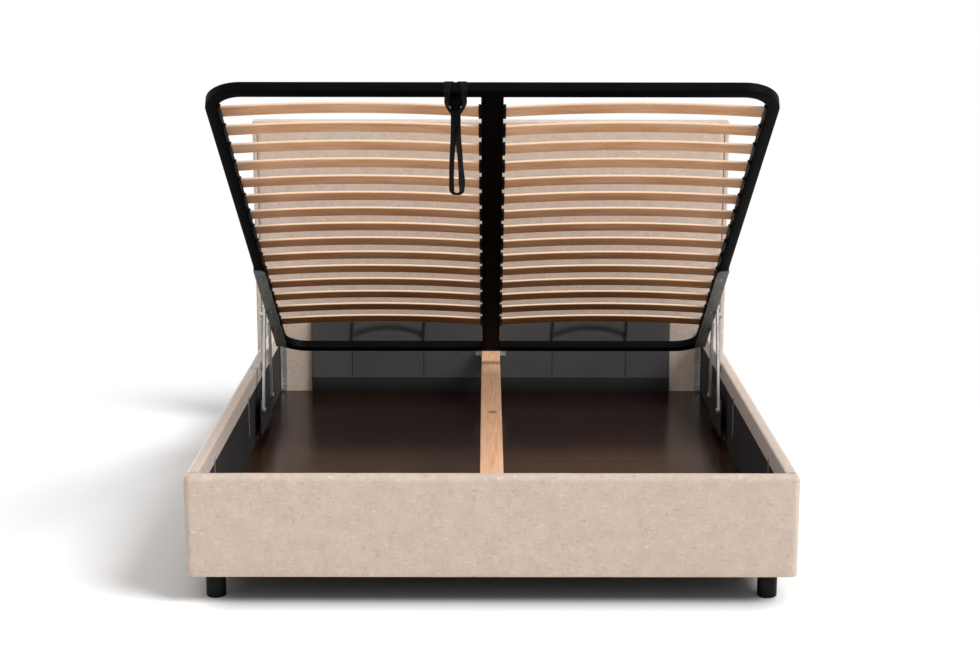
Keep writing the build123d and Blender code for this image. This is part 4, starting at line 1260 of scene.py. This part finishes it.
# %% Lay the floor
white_from = 1.5
white_by = 2.6
bed_half = (0.72, 1.0, 0)
floor_half = 30
studio = bpy.data.materials.new("studio_floor")
studio.use_nodes = True
studio.node_tree.nodes.clear()
ray = add_node(studio, "ShaderNodeLightPath").outputs
on_floor = place_on(studio)
far = spread(studio, of_vectors(studio, "LENGTH", on_floor), given=(white_from, white_by), way="SMOOTHSTEP")
pale = layer_over(studio, grey(0.92), grey(1.06), share=ray["Is Camera Ray"], way="MIX")
off_bed = of_vectors(studio, "SUBTRACT", of_vectors(studio, "ABSOLUTE", on_floor), bed_half)
off_edge = of_vectors(studio, "LENGTH", of_vectors(studio, "MAXIMUM", off_bed))
floor_colour = tint(studio, pale, off_edge, (0.0, (0.36, 0.4, 0.42, 1.0)), (0.14, grey(1.0)))
seen = of_numbers(studio, "MAXIMUM", ray["Is Camera Ray"], ray["Is Glossy Ray"])
matt = add_node(studio, "ShaderNodeBsdfDiffuse")
glow = add_node(studio, "ShaderNodeEmission")
floor_mix = add_node(studio, "ShaderNodeMixShader")
floor_output = add_node(studio, "ShaderNodeOutputMaterial")
wire(studio, floor_colour, matt.inputs["Color"])
wire(studio, grey(1.0), glow.inputs["Color"])
wire(studio, of_numbers(studio, "MULTIPLY", seen, far), floor_mix.inputs[0])
wire(studio, matt.outputs["BSDF"], floor_mix.inputs[1])
wire(studio, glow.outputs["Emission"], floor_mix.inputs[2])
wire(studio, floor_mix.outputs["Shader"], floor_output.inputs["Surface"])

shape = bmesh.new()
bmesh.ops.create_grid(shape, x_segments=1, y_segments=1, size=floor_half)
floor_mesh = bpy.data.meshes.new("studio_floor")
shape.to_mesh(floor_mesh)
shape.free()
floor_mesh.materials.append(studio)
put_in_scene("studio_floor", floor_mesh)
print("floor laid")

# %% Light the studio
sky_strength = 0.48
world = bpy.data.worlds.new("studio_sky")
bpy.context.scene.world = world
world.use_nodes = True
sky = world.node_tree.nodes["Background"]
sky_ray = add_node(world, "ShaderNodeLightPath").outputs
shown = of_numbers(world, "MAXIMUM", sky_ray["Is Camera Ray"], sky_ray["Is Glossy Ray"])
shown = of_numbers(world, "MAXIMUM", shown, sky_ray["Is Transmission Ray"])
wire(world, spread(world, shown, wanted=(sky_strength, 1.0)), sky.inputs["Strength"])
wire(world, grey(1.0), sky.inputs["Color"])

key = put_in_scene("key_lamp", bpy.data.lights.new("key_lamp", "SUN"))
key.data.energy = 2.6
key.data.angle = math.radians(28)
key.rotation_euler = Vector((0.75, -0.35, 0.85)).to_track_quat("Z", "Y").to_euler()


def softbox(name, place, aim, width, length, power):
    """A broad lamp that hangs at a place and looks at a point."""
    lamp = put_in_scene(name, bpy.data.lights.new(name, "AREA"))
    lamp.data.shape = "RECTANGLE"
    lamp.data.size = width
    lamp.data.size_y = length
    lamp.data.energy = power
    lamp.location = place
    lamp.rotation_euler = (Vector(place) - Vector(aim)).to_track_quat("Z", "Y").to_euler()
    lamp.visible_camera = False


softbox("overhead_lamp", (0.2, -0.2, 2.9), (0, 0.7, 0.5), width=2.4, length=1.6, power=15)
print("sky and lamps set")

# %% Set the camera where the photographer stood
camera_place = (-0.0142, -5.882, 1.787)
camera_yaw = math.radians(-0.097)
camera_pitch = math.radians(90 - 11.48)
camera_roll = math.radians(0.078)
camera = put_in_scene("camera", bpy.data.cameras.new("camera"))
camera.data.sensor_width = 36
camera.data.sensor_fit = "HORIZONTAL"
camera.data.lens = 65.42
camera.matrix_world = (Matrix.Translation(camera_place) @ Matrix.Rotation(camera_yaw, 4, "Z")
                       @ Matrix.Rotation(camera_pitch, 4, "X") @ Matrix.Rotation(camera_roll, 4, "Z"))
bpy.context.scene.camera = camera
bpy.context.scene.view_settings.view_transform = "Standard"
print("camera set")

# %% Finish
print("scene ready")
